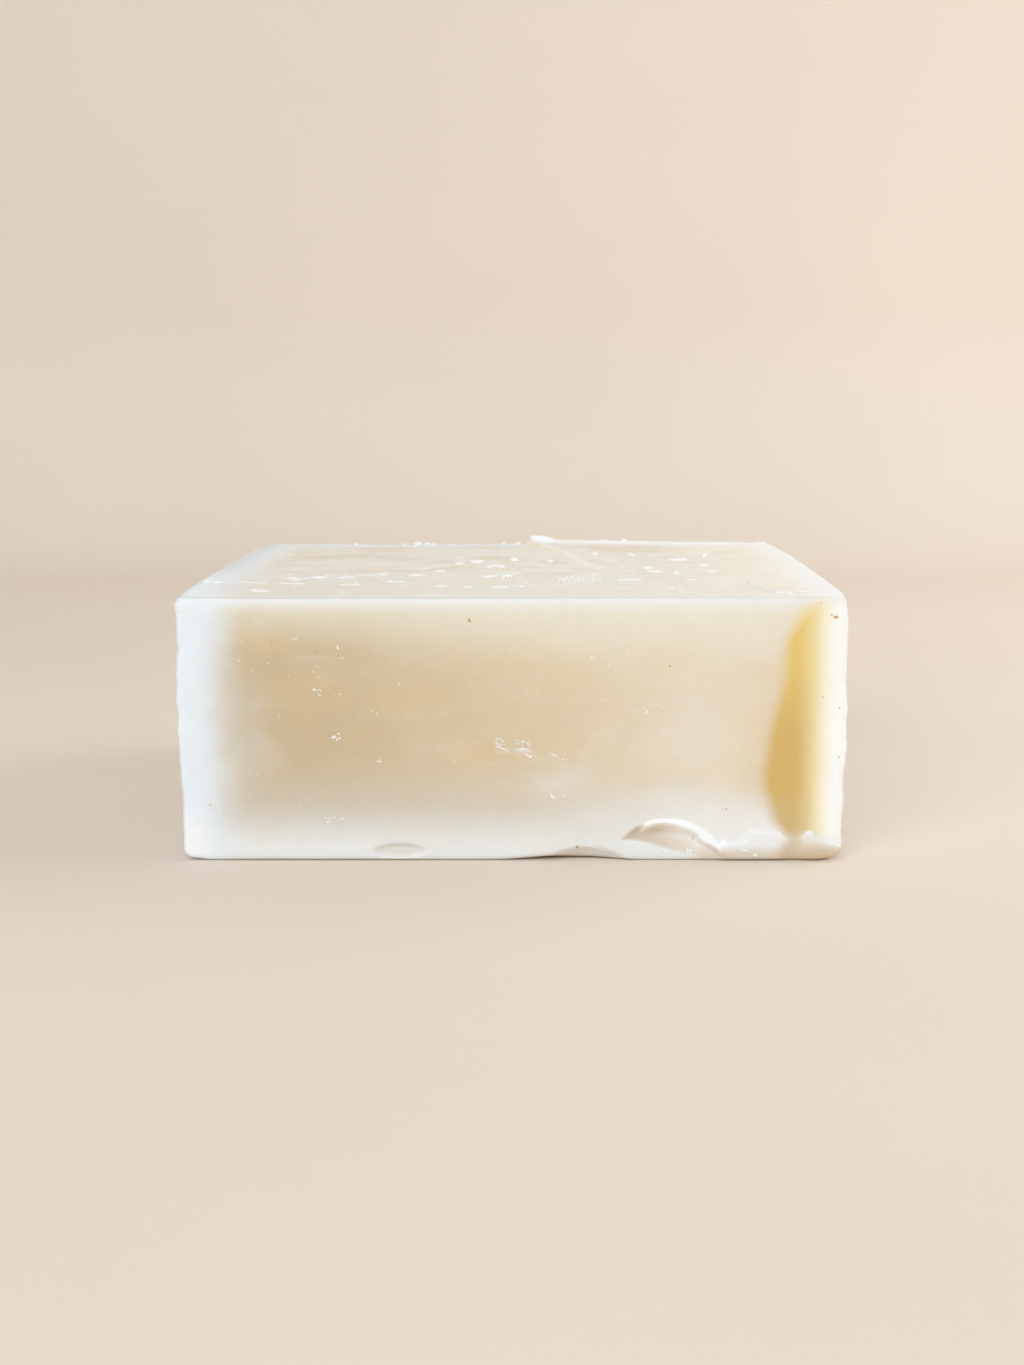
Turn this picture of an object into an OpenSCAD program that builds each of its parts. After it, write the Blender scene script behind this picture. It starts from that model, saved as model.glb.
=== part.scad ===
// A hand-cut block of soap: one solid, sliced from a slab and handled while soft.
// The front face looks along -Y, +X is to the viewer's right and the base lies on Z = 0.
// The origin is the middle of the base.

/* [Bar] */
// Width of the block, left to right
bar_w = 97; // [85:0.5:110]
// Depth of the block, front to back
bar_d = 91; // [78:0.5:104]
// Height of the main top face above the base
bar_h = 39; // [32:0.5:46]

/* [Edges] */
// Radius of the upright edge at the front left
front_left_r = 1.6; // [0.8:0.1:3]
// Radius of the upright edge at the front right
front_right_r = 1.4; // [0.8:0.1:3]
// Radius of the upright edge at the rear left, worn rounder than the others
rear_left_r = 4.6; // [2:0.1:7]
// Radius of the upright edge at the rear right
rear_right_r = 2.2; // [1:0.1:4]
// Radius along the top of the front face
top_front_r = 0.7; // [0.4:0.1:1.4]
// Radius along the top of the rear face
top_rear_r = 1.1; // [0.4:0.1:1.8]
// Radius along the top of the left face
top_left_r = 1.5; // [0.6:0.1:2.4]
// Radius along the top of the right face
top_right_r = 1.0; // [0.6:0.1:2.4]
// Radius along the foot of the front face
base_front_r = 0.8; // [0.4:0.1:1.4]
// Radius along the foot of the rear face
base_rear_r = 1.2; // [0.4:0.1:2]
// Radius along the foot of the left face
base_left_r = 1.9; // [0.8:0.1:3]
// Radius along the foot of the right face
base_right_r = 3.0; // [1:0.1:4]

/* [Thumb scoop] */
// Distance from the right face to the middle of the scoop
scoop_from_right = 25.6; // [24:0.2:32]
// Radius of the scoop's curved upper edge on the front face
scoop_r = 8.5; // [7:0.1:9.5]
// Height of the scoop's upper edge above the base
scoop_top = 6.4; // [5:0.1:9]
// Height of the scoop's outline, from its straight lower edge to its curved upper edge
scoop_tall = 4.3; // [3:0.1:5]
// Depth of the scoop below the front face, just under its upper edge
scoop_deep = 1.4; // [0.6:0.1:2.2]
// Slope of the scoop's lower edge, falling to the right, in degrees
scoop_slope = 8; // [0:1:16]
// Radius of the bead of soap pushed up along the upper edge
bead_r = 0.9; // [0.6:0.1:1.2]
// Height to which the bead stands out of the front face where it is highest
bead_proud = 0.7; // [0.3:0.1:0.9]
// Direction from the scoop's centre in which the bead is highest, in degrees above +X
bead_toward = 52; // [30:1:80]

/* [Foot of the front face] */
// Distance from the right face to the middle of the slice missing from the foot
slice_from_right = 37.6; // [32:0.2:46]
// Length of the slice missing from the foot
slice_len = 13.6; // [8:0.2:18]
// Height of the missing slice on the front face
slice_tall = 2.2; // [1:0.1:3]
// Depth of the missing slice into the front face, at the base
slice_deep = 1.7; // [0.8:0.1:2.5]
// Distance from the left face to the middle of the shallow nick
nick_from_left = 32; // [26:0.5:40]
// Height of the middle of the nick above the base
nick_z = 1.5; // [1.5:0.1:6]
// Length of the shallow nick
nick_len = 8.4; // [5:0.2:12]
// Height of the shallow nick's outline
nick_tall = 2.4; // [1.4:0.1:3]
// Depth of the shallow nick
nick_deep = 0.5; // [0.3:0.1:0.8]
// Thickness of the soap smeared over the foot at the right
smear_thick = 0.5; // [0.3:0.1:0.8]

/* [Top face] */
// Distance from the right face to the rear end of the step across the top
step_from_right = 46.2; // [40:0.2:54]
// Height of the step at the rear edge
step_h = 0.8; // [0.4:0.1:1.4]
// Distance that the step runs forward before it fades out
step_run = 54; // [40:1:62]
// Distance that the step's front end lies to the right of its rear end
step_skew = 13; // [6:0.5:18]
// Height of the curl of soap above the rear end of the step
curl_h = 0.8; // [0.4:0.1:1.2]
// Length of the curl along the rear edge
curl_len = 6.2; // [4.6:0.2:8]
// Width of the curl, front to back
curl_wide = 2.2; // [1.6:0.1:3]

/* [Hidden] */
$fn = 48;

soap_colour = [0.93, 0.91, 0.85];
front_y = -bar_d / 2;
rear_y = bar_d / 2;
left_x = -bar_w / 2;
right_x = bar_w / 2;
past = 20;            // how far a cutting solid runs past the block
sink = 2;             // how deep an added solid is rooted in the block

// Soap smeared over the foot: distance from the right face, and height
smear_outline = [
    [18.4, 2.0], [16.6, 3.1], [14.6, 2.7], [13.7, 3.3], [13.4, 4.5], [8.9, 4.3],
    [8.3, 3.5], [7.0, 3.2], [6.0, 3.4], [5.2, 4.6], [4.2, 4.1], [3.8, 3.2],
    [1.8, 2.7], [1.0, 2.1], [1.0, 0.9], [18.4, 0.9]
];
// Notches in the upright front edges: side, height, radius, depth
edge_notches = [
    [-1, 33.4, 3.5, 0.35], [-1, 21.0, 7.0, 0.30], [-1, 9.5, 5.0, 0.25],
    [1, 30.5, 5.0, 0.30], [1, 12.0, 6.0, 0.45], [1, 22.5, 4.0, 0.25]
];
// Crumbs stuck along the rear of the top: distance left of the step, radius, height
rear_crumbs = [[21.0, 1.1, 0.5], [18.9, 0.9, 0.4], [17.6, 0.7, 0.5], [4.6, 1.0, 0.4]];
step_fall = 0.65;     // how much lower the step is at its right end
bead_tilt = 5;        // tilt that sinks the bead's two ends into the face
curl_in = 0.5;        // how far the curl stands in from the rear face

// A rectangle with its own radius at each corner, anticlockwise from the lower left.
module rounded_outline(low, high, radii) {
    corners = [low, [high[0], low[1]], high, [low[0], high[1]]];
    inward = [[1, 1], [-1, 1], [-1, -1], [1, -1]];
    along_first = [[0, 1], [1, 0], [0, 1], [1, 0]];
    polygon([
        for (i = [0 : 3], half = [0, 1])
            let (way = half == 0 ? along_first[i] : [1, 1] - along_first[i])
                corners[i] + radii[i] * [inward[i][0] * way[0], inward[i][1] * way[1]]
    ]);
    for (i = [0 : 3])
        translate(corners[i] + radii[i] * inward[i])
            circle(r = radii[i]);
}

module seen_from_above() {
    translate([0, 0, -past])
        linear_extrude(height = bar_h + 2 * past)
            rounded_outline(
                [left_x, front_y], [right_x, rear_y],
                [front_left_r, front_right_r, rear_right_r, rear_left_r]);
}

module seen_from_front() {
    translate([0, bar_d, 0])
        rotate([90, 0, 0])
            linear_extrude(height = 2 * bar_d)
                rounded_outline(
                    [left_x, 0], [right_x, bar_h],
                    [base_left_r, base_right_r, top_right_r, top_left_r]);
}

module seen_from_right() {
    translate([-bar_w, 0, 0])
        rotate([90, 0, 90])
            linear_extrude(height = 2 * bar_w)
                rounded_outline(
                    [front_y, 0], [rear_y, bar_h],
                    [base_front_r, base_rear_r, top_rear_r, top_front_r]);
}

module block() {
    intersection() {
        seen_from_above();
        seen_from_front();
        seen_from_right();
    }
}

// Radius of the circle that rises by height over half of its chord.
function arc_r(half_chord, height) = (half_chord * half_chord + height * height) / (2 * height);

// A ring whose rim bulges past the face Z = 0 by height, over the given length and width.
// Seen on the face it is a long hump, or a long hollow when the ring is taken away.
module ring_bulge(length, width, height) {
    across = arc_r(length / 2, height);
    round = min(arc_r(width / 2, height), across - 0.5);
    translate([0, 0, height - across])
        rotate([90, 0, 0])
            rotate_extrude()
                translate([across - round, 0])
                    circle(r = round);
}

// Places a drawing on the front face: its own Z points out of the face, its Y up.
module on_front(x, z) {
    translate([x, front_y, z])
        rotate([90, 0, 0])
            children();
}

module at_scoop() {
    on_front(right_x - scoop_from_right, scoop_top - scoop_r)
        children();
}

// Half of a ring is sunk in the face and tilted, so that it stands out as a bead
// along the upper right of the scoop and dies away at both ends.
module scoop_bead() {
    intersection() {
        at_scoop()
            translate([0, 0, bead_proud - bead_r])
                rotate([0, 0, bead_toward])
                    rotate([0, -bead_tilt, 0])
                        translate([0, 0, -scoop_r * sin(bead_tilt)])
                            rotate_extrude()
                                translate([scoop_r + bead_r / 2, 0])
                                    circle(r = bead_r);
        translate([right_x - scoop_from_right - past, front_y - past, 1])
            cube([2 * past, past + sink, past]);
    }
}

// A sloping floor runs in from the straight lower edge to a steep curved wall.
module thumb_scoop() {
    at_scoop()
        intersection() {
            translate([0, 0, -scoop_deep])
                cylinder(h = 2 * scoop_deep, r1 = scoop_r - scoop_deep, r2 = scoop_r + scoop_deep);
            translate([0, scoop_r - scoop_tall, 0])
                rotate([0, 0, -scoop_slope])
                    rotate([-atan(scoop_deep / (scoop_tall - scoop_deep)), 0, 0])
                        translate([-past, -past, 0])
                            cube([2 * past, 2 * past, past]);
        }
}

// A ball takes the slice from the foot.
module missing_slice() {
    outline_r = arc_r(slice_len / 2, slice_tall);
    below = outline_r - slice_tall;
    out = (slice_tall * (outline_r + below) - slice_deep * slice_deep) / (2 * slice_deep);
    translate([right_x - slice_from_right, front_y - out, -below])
        sphere(r = sqrt(out * out + outline_r * outline_r));
}

module shallow_nick() {
    on_front(left_x + nick_from_left, nick_z)
        rotate([180, 0, 0])
            ring_bulge(nick_len, nick_tall, nick_deep);
}

module smear() {
    translate([right_x, front_y + sink, 0])
        rotate([90, 0, 0])
            linear_extrude(height = sink + smear_thick)
                polygon([for (p = smear_outline) [-p[0], p[1]]]);
}

// A wedge on the top face: full height at the rear end of the step, and running out
// to nothing towards the front and the right.
module raised_step() {
    step_x = right_x - step_from_right;
    intersection() {
        translate([0, 0, bar_h - sink])
            linear_extrude(height = sink + step_h)
                polygon([
                    [step_x, rear_y - top_rear_r / 2],
                    [step_x + step_skew, rear_y - step_run],
                    [right_x - top_right_r, rear_y - step_run],
                    [right_x - top_right_r, rear_y - rear_right_r],
                    [right_x - rear_right_r, rear_y - top_rear_r / 2]
                ]);
        translate([step_x, rear_y, bar_h + step_h])
            rotate([atan(step_h / step_run), atan(step_h * step_fall / step_from_right), 0])
                translate([-past, -bar_d, -bar_h])
                    cube([bar_w, bar_d + past, bar_h]);
    }
}

module rear_curl() {
    translate([right_x - step_from_right + curl_len / 2, rear_y - curl_wide / 2 - curl_in, bar_h])
        ring_bulge(curl_len, curl_wide, step_h + curl_h);
}

module crumbs() {
    for (c = rear_crumbs)
        translate([right_x - step_from_right - c[0], rear_y - top_rear_r - c[1] / 2, bar_h + c[2] - c[1]])
            sphere(r = c[1]);
}

module notches() {
    for (n = edge_notches)
        translate([n[0] * (bar_w / 2 + n[2] - n[3]), front_y, n[1] / 39 * bar_h])
            sphere(r = n[2]);
}

module soap_bar() {
    color(soap_colour)
        difference() {
            union() {
                block();
                scoop_bead();
                smear();
                raised_step();
                rear_curl();
                crumbs();
            }
            thumb_scoop();
            missing_slice();
            shallow_nick();
            notches();
        }
}

soap_bar();
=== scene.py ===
import math
import random

import bpy
from mathutils import Matrix, Vector, noise


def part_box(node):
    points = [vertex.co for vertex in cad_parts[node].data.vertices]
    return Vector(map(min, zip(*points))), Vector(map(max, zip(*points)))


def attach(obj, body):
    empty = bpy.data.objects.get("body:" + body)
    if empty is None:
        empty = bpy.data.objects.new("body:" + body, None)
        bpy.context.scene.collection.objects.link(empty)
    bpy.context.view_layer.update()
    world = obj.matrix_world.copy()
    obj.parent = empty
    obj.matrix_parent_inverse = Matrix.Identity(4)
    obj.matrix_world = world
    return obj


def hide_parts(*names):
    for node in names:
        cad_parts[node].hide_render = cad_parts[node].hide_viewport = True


bl_info = {
    "name": "Hand-cut soap",
    "version": (1, 0, 0),
    "blender": (4, 5, 0),
    "location": "View3D > Sidebar > Soap",
    "description": "Builds a used, hand-cut block of soap and a plain stage for it",
    "category": "Object",
}

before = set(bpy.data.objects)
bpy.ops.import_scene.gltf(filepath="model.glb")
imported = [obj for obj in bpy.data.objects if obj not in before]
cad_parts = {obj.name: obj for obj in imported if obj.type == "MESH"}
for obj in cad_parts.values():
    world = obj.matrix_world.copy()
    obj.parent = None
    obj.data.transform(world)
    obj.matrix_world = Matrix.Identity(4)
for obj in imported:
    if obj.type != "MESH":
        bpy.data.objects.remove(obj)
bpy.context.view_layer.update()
bar_low, bar_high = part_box("soap_bar")

NODE = "soap_bar"
MM = 0.001
# What a mark of the skin says where its outline is far away
OUTSIDE = -2.0


def paint(red, green, blue):
    """A colour picked on screen, 0 to 255, as the linear values that a shader takes."""
    def linear(value):
        value /= 255
        return value / 12.92 if value <= 0.04045 else ((value + 0.055) / 1.055) ** 2.4
    return (linear(red), linear(green), linear(blue))


def length(name, description, default_mm):
    """A length for the panel: its default is given in millimetres and kept in metres."""
    return bpy.props.FloatProperty(
        name=name, description=description, default=default_mm * MM,
        min=0.0, unit="LENGTH", subtype="DISTANCE")


def colour(name, description, default):
    """A colour on the panel, kept as linear values."""
    return bpy.props.FloatVectorProperty(
        name=name, description=description, default=default,
        size=3, min=0.0, max=1.0, subtype="COLOR")


class SoapSizes(bpy.types.PropertyGroup):
    """Sizes of the block and of its wear."""
    width: length("Width", "Left to right", (bar_high.x - bar_low.x) / MM)
    depth: length("Depth", "Front face to rear face", 2 * bar_high.y / MM)
    height: length("Height", "Base to the main top face", 39)
    front_left_r: length("Front left edge", "Radius of the upright edge", 1.0)
    front_right_r: length("Front right edge", "Radius of the upright edge", 0.9)
    rear_left_r: length("Rear left edge", "Radius of the upright edge, worn round", 4.6)
    rear_right_r: length("Rear right edge", "Radius of the upright edge", 2.2)
    top_front_r: length("Top front edge", "Radius along the top of the front face", 0.5)
    top_rear_r: length("Top rear edge", "Radius along the top of the rear face", 1.1)
    top_left_r: length("Top left edge", "Radius along the top of the left face", 1.5)
    top_right_r: length("Top right edge", "Radius along the top of the right face", 1.0)
    base_front_r: length("Foot front edge", "Radius along the foot of the front face", 0.8)
    base_rear_r: length("Foot rear edge", "Radius along the foot of the rear face", 1.2)
    base_left_r: length("Foot left edge", "Radius along the foot of the left face", 1.9)
    base_right_r: length("Foot right edge", "Radius along the foot of the right face", 2.6)
    scoop_from_right: length("Scoop from right", "Right face to the middle of the thumb scoop", 25.6)
    scoop_r: length("Scoop radius", "Radius of the scoop's curved upper edge", 8.5)
    scoop_top: length("Scoop top", "Height of the scoop's upper edge above the base", 6.4)
    scoop_deep: length("Scoop depth", "Depth of the scoop below the front face", 0.9)
    bead_proud: length("Bead", "How far the soap pushed up round the scoop stands out", 0.5)
    slice_from_right: length("Slice from right", "Right face to the middle of the missing slice", 37.6)
    slice_len: length("Slice length", "Length of the slice missing from the foot", 13.6)
    slice_tall: length("Slice height", "Height of the missing slice on the front face", 2.2)
    slice_deep: length("Slice depth", "Depth of the missing slice at the base", 1.7)
    smear_thick: length("Smear", "Thickness of the soap smeared over the foot", 0.45)
    step_from_right: length("Step from right", "Right face to the rear end of the top's step", 46.2)
    step_h: length("Step height", "Height of the step at the rear edge", 0.8)
    step_run: length("Step run", "How far the step runs forward before it fades", 54)
    step_skew: length("Step skew", "How far its front end lies to the right of its rear end", 13)
    curl_h: length("Curl", "Height of the curl above the rear end of the step", 0.8)
    curl_len: length("Curl length", "Length of the curl along the rear edge", 6.2)


class SoapColours(bpy.types.PropertyGroup):
    """Colours of the soap, of what sticks to it and of the stage."""
    tan: colour("Tan", "Moist tan soap at the left of the front face", paint(204, 184, 150))
    cream: colour("Cream", "Soap in the middle of the front face", paint(220, 202, 172))
    pale: colour("Pale cream", "Soap at the right of the front face", paint(230, 216, 192))
    amber: colour("Amber", "Small yellower patches", paint(220, 192, 142))
    crown: colour("Crown", "Lighter cream just under the top edges", paint(236, 234, 219))
    top: colour("Top", "Warm beige of the top face", paint(233, 229, 219))
    # The rind's cool blue tint is partly painted shade, strongest at the left where the block is in
    # shade
    rind_and_shade: colour("Rind", "Dried, cool white skin along the edges", paint(231, 239, 245))
    foot: colour("Foot", "Grey white of the foot, where water stood", paint(234, 235, 233))
    # The honey colours paint a shadow on the front's right part, lit only through the soap from the
    # right edge; the yellow is partly the soap's own colour
    honey: colour("Honey", "Deepest colour of the clear band", paint(213, 180, 108))
    honey_top: colour("Upper honey", "Colour of the band's upper part", paint(230, 200, 116))
    honey_pale: colour("Pale honey", "Colour of the band where it thins out", paint(242, 228, 181))
    # Painted light coming through the soap at the right edge
    bright: colour("Bright edge", "Nearly white soap beside the right edge", paint(250, 251, 248))
    torn: colour("Torn soap", "White of scraped and smeared soap", paint(247, 248, 248))
    speck: colour("Specks", "Brown grains set in the soap", paint(214, 164, 68))
    floor: colour("Floor", "Pale floor and backdrop", paint(232, 219, 205))


class StageSettings(bpy.types.PropertyGroup):
    """Camera and light."""
    lens: bpy.props.FloatProperty(
        name="Lens", description="Focal length on a 36 mm frame, in millimetres", default=48.8)
    camera_x: length("Camera X", "Place of the camera, to the right of the block's middle", 2.05)
    camera_back: length("Camera back", "Distance of the camera in front of the block's middle", 310.41)
    camera_z: length("Camera Z", "Height of the camera above the base", 69.18)
    camera_down: bpy.props.FloatProperty(
        name="Look down", description="Tilt of the camera below the horizon", subtype="ANGLE",
        default=math.radians(9.133))
    camera_left: bpy.props.FloatProperty(
        name="Look left", description="Turn of the camera to the left", subtype="ANGLE",
        default=math.radians(0.434))
    camera_roll: bpy.props.FloatProperty(
        name="Roll", description="Clockwise roll of the camera", subtype="ANGLE",
        default=math.radians(0.128))
    sky: bpy.props.FloatProperty(
        name="Surrounding light", description="Strength of the even light from all sides", default=0.62)
    key: bpy.props.FloatProperty(
        name="Window light", description="Power of the soft light from the right, in watts",
        default=1.3, subtype="POWER")
    fill: bpy.props.FloatProperty(
        name="Front light", description="Power of the soft light from the front left, in watts",
        default=5.9, subtype="POWER")


def soft(low, high, value):
    """0 at low, 1 at high, and an even curve between them."""
    t = min(1.0, max(0.0, (value - low) / (high - low)))
    return t * t * (3.0 - 2.0 * t)


def hump(value, middle, half):
    """1 at the middle, falling smoothly to 0 at half on either side."""
    t = min(1.0, abs(value - middle) / half)
    return (1.0 - t * t) ** 2


def soft_min(a, b, blend):
    """The smaller value, rounded off where the two cross."""
    h = max(0.0, blend - abs(a - b)) / blend
    return min(a, b) - h * h * blend / 4


def along(points, x):
    """The value at x of an outline given by a few points."""
    if x <= points[0][0]:
        return points[0][1]
    for (x0, v0), (x1, v1) in zip(points, points[1:]):
        if x <= x1:
            return v0 + (v1 - v0) * (x - x0) / (x1 - x0)
    return points[-1][1]


def flowing(points, x):
    """As along, but on one smooth curve through the points."""
    spots = [points[0], *points, points[-1]]
    for i in range(1, len(spots) - 2):
        (x0, v0), (x1, v1), (x2, v2), (x3, v3) = spots[i - 1:i + 3]
        if x <= x2 or i == len(spots) - 3:
            t = min(1.0, max(0.0, (x - x1) / (x2 - x1)))
            out, into = (v2 - v0) * (x2 - x1) / (x2 - x0), (v3 - v1) * (x2 - x1) / (x3 - x1)
            rise = v2 - v1
            return v1 + t * (out + t * (3 * rise - 2 * out - into + t * (out + into - 2 * rise)))
    return points[-1][1]


def grain(x, y, z, scale, seed=0.0):
    """Smooth noise between -1 and 1, with lumps about scale millimetres across."""
    return noise.noise(Vector((x / scale + seed, y / scale, z / scale)))


def spaced(low, high, near_low, near_high, fine, step):
    """Places between low and high: fine steps near both ends and wider ones between them."""
    places = [low]
    while places[-1] < low + near_low - fine / 2:
        places.append(places[-1] + fine)
    start, stop = places[-1], high - near_high
    count = max(1, round((stop - start) / step))
    places += [start + (stop - start) * i / count for i in range(1, count + 1)]
    ends = max(1, round(near_high / fine))
    places += [stop + near_high * i / ends for i in range(1, ends + 1)]
    return places


# Outlines on the front face, in millimetres from the block's middle and above its base
SCOOP_LOWER = [
    (14.4, 3.1), (17.9, 2.9), (20.1, 2.5), (22.3, 1.8), (24.7, 1.1), (27.9, 0.4), (31.4, 0.0)]
SMEAR_UPPER = [
    (29.9, 0.6), (30.3, 2.5), (31.2, 3.1), (32.0, 2.7), (33.3, 2.8), (34.5, 3.4), (34.9, 4.4),
    (35.3, 4.6), (37.5, 4.5), (39.4, 4.4), (39.8, 3.9), (40.6, 3.2), (42.0, 3.2), (42.6, 3.9),
    (43.1, 4.5), (43.6, 4.7), (44.1, 4.5), (44.6, 3.6), (45.3, 3.2), (46.2, 2.9), (47.4, 2.7),
    (48.5, 2.2)]
# Left edge of the honey band, the edge of its painted shadow: height above the base, then place across
HONEY_LEFT = [
    (3.0, 40.4), (4.6, 39.6), (5.8, 38.7), (7.0, 38.2), (8.2, 37.9), (9.4, 37.6), (10.6, 37.1),
    (13.0, 37.0), (15.4, 37.3), (17.8, 37.6), (20.1, 37.9), (22.5, 38.6), (24.9, 39.2), (27.2, 39.6),
    (31.9, 39.9), (33.1, 40.1), (34.2, 40.7), (35.4, 41.2), (36.5, 41.9), (37.7, 42.8), (39.0, 44.2)]
# Lower edge of the white torn band along the upper right of the scoop: place across, then height
SCOOP_INNER = [
    (19.5, 5.1), (20.9, 5.6), (22.4, 5.75), (24.2, 5.5), (25.8, 5.0), (27.0, 4.2), (27.8, 3.2),
    (29.1, 2.6), (30.1, 1.95), (31.2, 1.2), (32.7, 0.4)]
# Where the torn band starts at the left, and where the smear does
BAND_START = 19.4
SMEAR_START = 30.2
# Thin place in the smear: middle, half width, share of the thickness that is gone
SMEAR_GAP = (41.3, 2.2, 0.75)
# Nick in the foot: its middle across and up, half width, half height, depth
NICK = (-16.5, 1.5, 4.2, 1.15, 0.5)
# Shallow dint under the middle chips: place, height, reach, depth
DINT = (2.2, 16.4, 1.5, 0.16)
# The front face is lumpy to the left of this place
LUMPY_FROM = -43.5
# Where the foot stands clear of the floor: middle, half width, height; then the height of its ends
FOOT_LIFT = (8.0, 10.5, 0.65)
FOOT_ENDS = 0.35
# Bumps in the upright front edges: -1 left or 1 right, height, half height, how far they stand out
EDGE_BUMPS = [
    (-1, 24.0, 22.0, 0.42), (-1, 38.0, 2.4, 0.22), (-1, 31.6, 1.2, -0.22), (-1, 27.8, 1.8, 0.15),
    (-1, 24.2, 2.2, 0.22), (-1, 19.5, 1.6, 0.12), (-1, 9.0, 2.6, -0.15), (1, 21.0, 20.0, 0.34),
    (1, 39.0, 2.6, -0.28), (1, 34.4, 1.8, 0.18), (1, 26.5, 2.0, -0.12), (1, 22.6, 1.4, 0.18),
    (1, 17.0, 1.6, 0.15), (1, 12.0, 3.0, -0.25), (1, 5.5, 3.0, -0.15)]
# White chips on the front face: place, height, reach of the cluster, how many, size of each
CHIPS = [
    (-1.3, 17.8, 0.9, 16, 0.26), (-2.0, 18.0, 0.5, 5, 0.18), (1.2, 17.7, 0.6, 12, 0.26),
    (2.2, 17.4, 0.6, 9, 0.24), (-0.6, 16.6, 1.1, 10, 0.14), (1.2, 16.4, 1.0, 8, 0.14),
    (6.2, 15.9, 0.9, 4, 0.16), (3.8, 16.4, 1.0, 4, 0.12), (-25.8, 18.6, 0.8, 7, 0.42),
    (-19.3, 15.1, 0.5, 5, 0.36), (-28.7, 25.5, 0.1, 3, 0.44), (-31.3, 33.1, 0.3, 3, 0.28),
    (-24.6, 30.2, 0.0, 1, 0.30), (-28.8, 28.2, 0.0, 1, 0.42), (-28.1, 27.3, 0.0, 1, 0.28),
    (-25.0, 24.9, 0.0, 1, 0.28), (-20.3, 22.3, 0.0, 1, 0.28), (-19.6, 22.0, 0.0, 1, 0.30),
    (-21.4, 27.9, 0.2, 2, 0.20), (-39.5, 29.8, 0.0, 1, 0.28), (-35.3, 29.4, 0.0, 1, 0.28),
    (-37.7, 28.3, 0.0, 1, 0.24), (-39.0, 32.6, 0.0, 1, 0.22), (-35.3, 32.4, 0.0, 1, 0.22),
    (11.6, 30.2, 0.0, 1, 0.56), (13.9, 28.6, 0.0, 1, 0.28), (15.3, 32.9, 0.0, 1, 0.32),
    (16.9, 30.7, 0.0, 1, 0.28), (16.7, 30.0, 0.0, 1, 0.26), (16.4, 29.4, 0.1, 2, 0.18),
    (15.8, 26.7, 0.0, 1, 0.28), (13.2, 24.1, 0.1, 2, 0.26), (21.2, 23.3, 0.0, 1, 0.22),
    (22.7, 23.0, 0.0, 1, 0.26), (18.2, 30.0, 0.0, 1, 0.22), (30.3, 25.4, 0.0, 1, 0.24),
    (7.8, 9.6, 0.2, 1, 0.32), (8.3, 13.0, 0.0, 1, 0.22), (7.8, 16.0, 0.0, 1, 0.24),
    (-5.8, 26.1, 0.0, 1, 0.26), (-0.2, 31.3, 0.0, 1, 0.30), (1.2, 34.0, 0.0, 1, 0.30),
    (-26.7, 6.2, 0.8, 6, 0.36), (-24.8, 6.5, 0.4, 3, 0.30), (-8.3, 14.8, 0.0, 1, 0.24),
    (-18.9, 22.9, 0.0, 1, 0.28), (-8.2, 35.7, 0.0, 1, 0.28), (14.9, 1.9, 0.4, 3, 0.36),
    (21.3, 1.3, 0.4, 3, 0.44), (26.2, 1.4, 0.3, 4, 0.42), (27.6, 1.2, 0.2, 2, 0.30),
    (33.9, 1.5, 0.4, 3, 0.34), (35.6, 0.9, 0.3, 3, 0.40), (19.1, 4.4, 0.0, 1, 0.30),
    (-11.8, 3.4, 0.5, 3, 0.26), (-40.5, 12.0, 0.5, 3, 0.24)]
# Scratches and crescents of lifted soap on the front face: width, then points
STROKES = [
    (0.18, [(-2.6, 17.3), (-1.5, 16.9), (-0.4, 16.5)]), (0.22, [(0.4, 16.6), (1.6, 16.8), (2.9, 16.3)]),
    (0.20, [(2.0, 15.9), (2.5, 15.8)]), (0.30, [(2.4, 15.6), (3.0, 15.6)]),
    (0.16, [(5.4, 16.2), (6.0, 15.9), (6.9, 15.6)]), (0.16, [(7.3, 15.2), (7.7, 15.1)]),
    (0.22, [(19.2, 22.7), (19.6, 22.5), (19.7, 22.2), (19.3, 22.0)]),
    (0.09, [(19.9, 22.8), (21.2, 23.3), (22.0, 23.6)]), (0.28, [(5.6, 10.2), (5.9, 9.6), (6.5, 9.3)]),
    (0.16, [(7.3, 9.8), (7.9, 9.7)]), (0.09, [(15.3, 33.2), (15.8, 32.3), (16.2, 31.3)]),
    (0.12, [(14.5, 30.1), (13.9, 28.6)]), (0.09, [(15.4, 28.8), (15.0, 27.8)]),
    (0.14, [(-16.6, 26.5), (-16.1, 26.1)]), (0.14, [(-28.4, 25.3), (-27.9, 25.6), (-27.6, 25.2)]),
    (0.30, [(-25.25, 32.1), (-25.1, 31.4)]), (0.12, [(-28.3, 25.1), (-27.9, 24.7), (-27.4, 24.6)]),
    (0.24, [(-48.4, 36.5), (-47.6, 36.45), (-46.8, 36.4)]), (0.16, [(-47.9, 31.6), (-47.2, 31.2)]),
    (0.34, [(10.6, 2.5), (11.8, 2.1), (13.0, 1.5), (14.2, 1.2)]),
    (0.22, [(22.0, 1.9), (22.7, 1.4), (22.4, 0.9)]), (0.20, [(25.9, 2.0), (25.8, 1.2), (26.6, 0.9)]),
    (0.18, [(33.0, 1.9), (34.4, 1.7), (35.2, 1.3)])]
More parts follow.
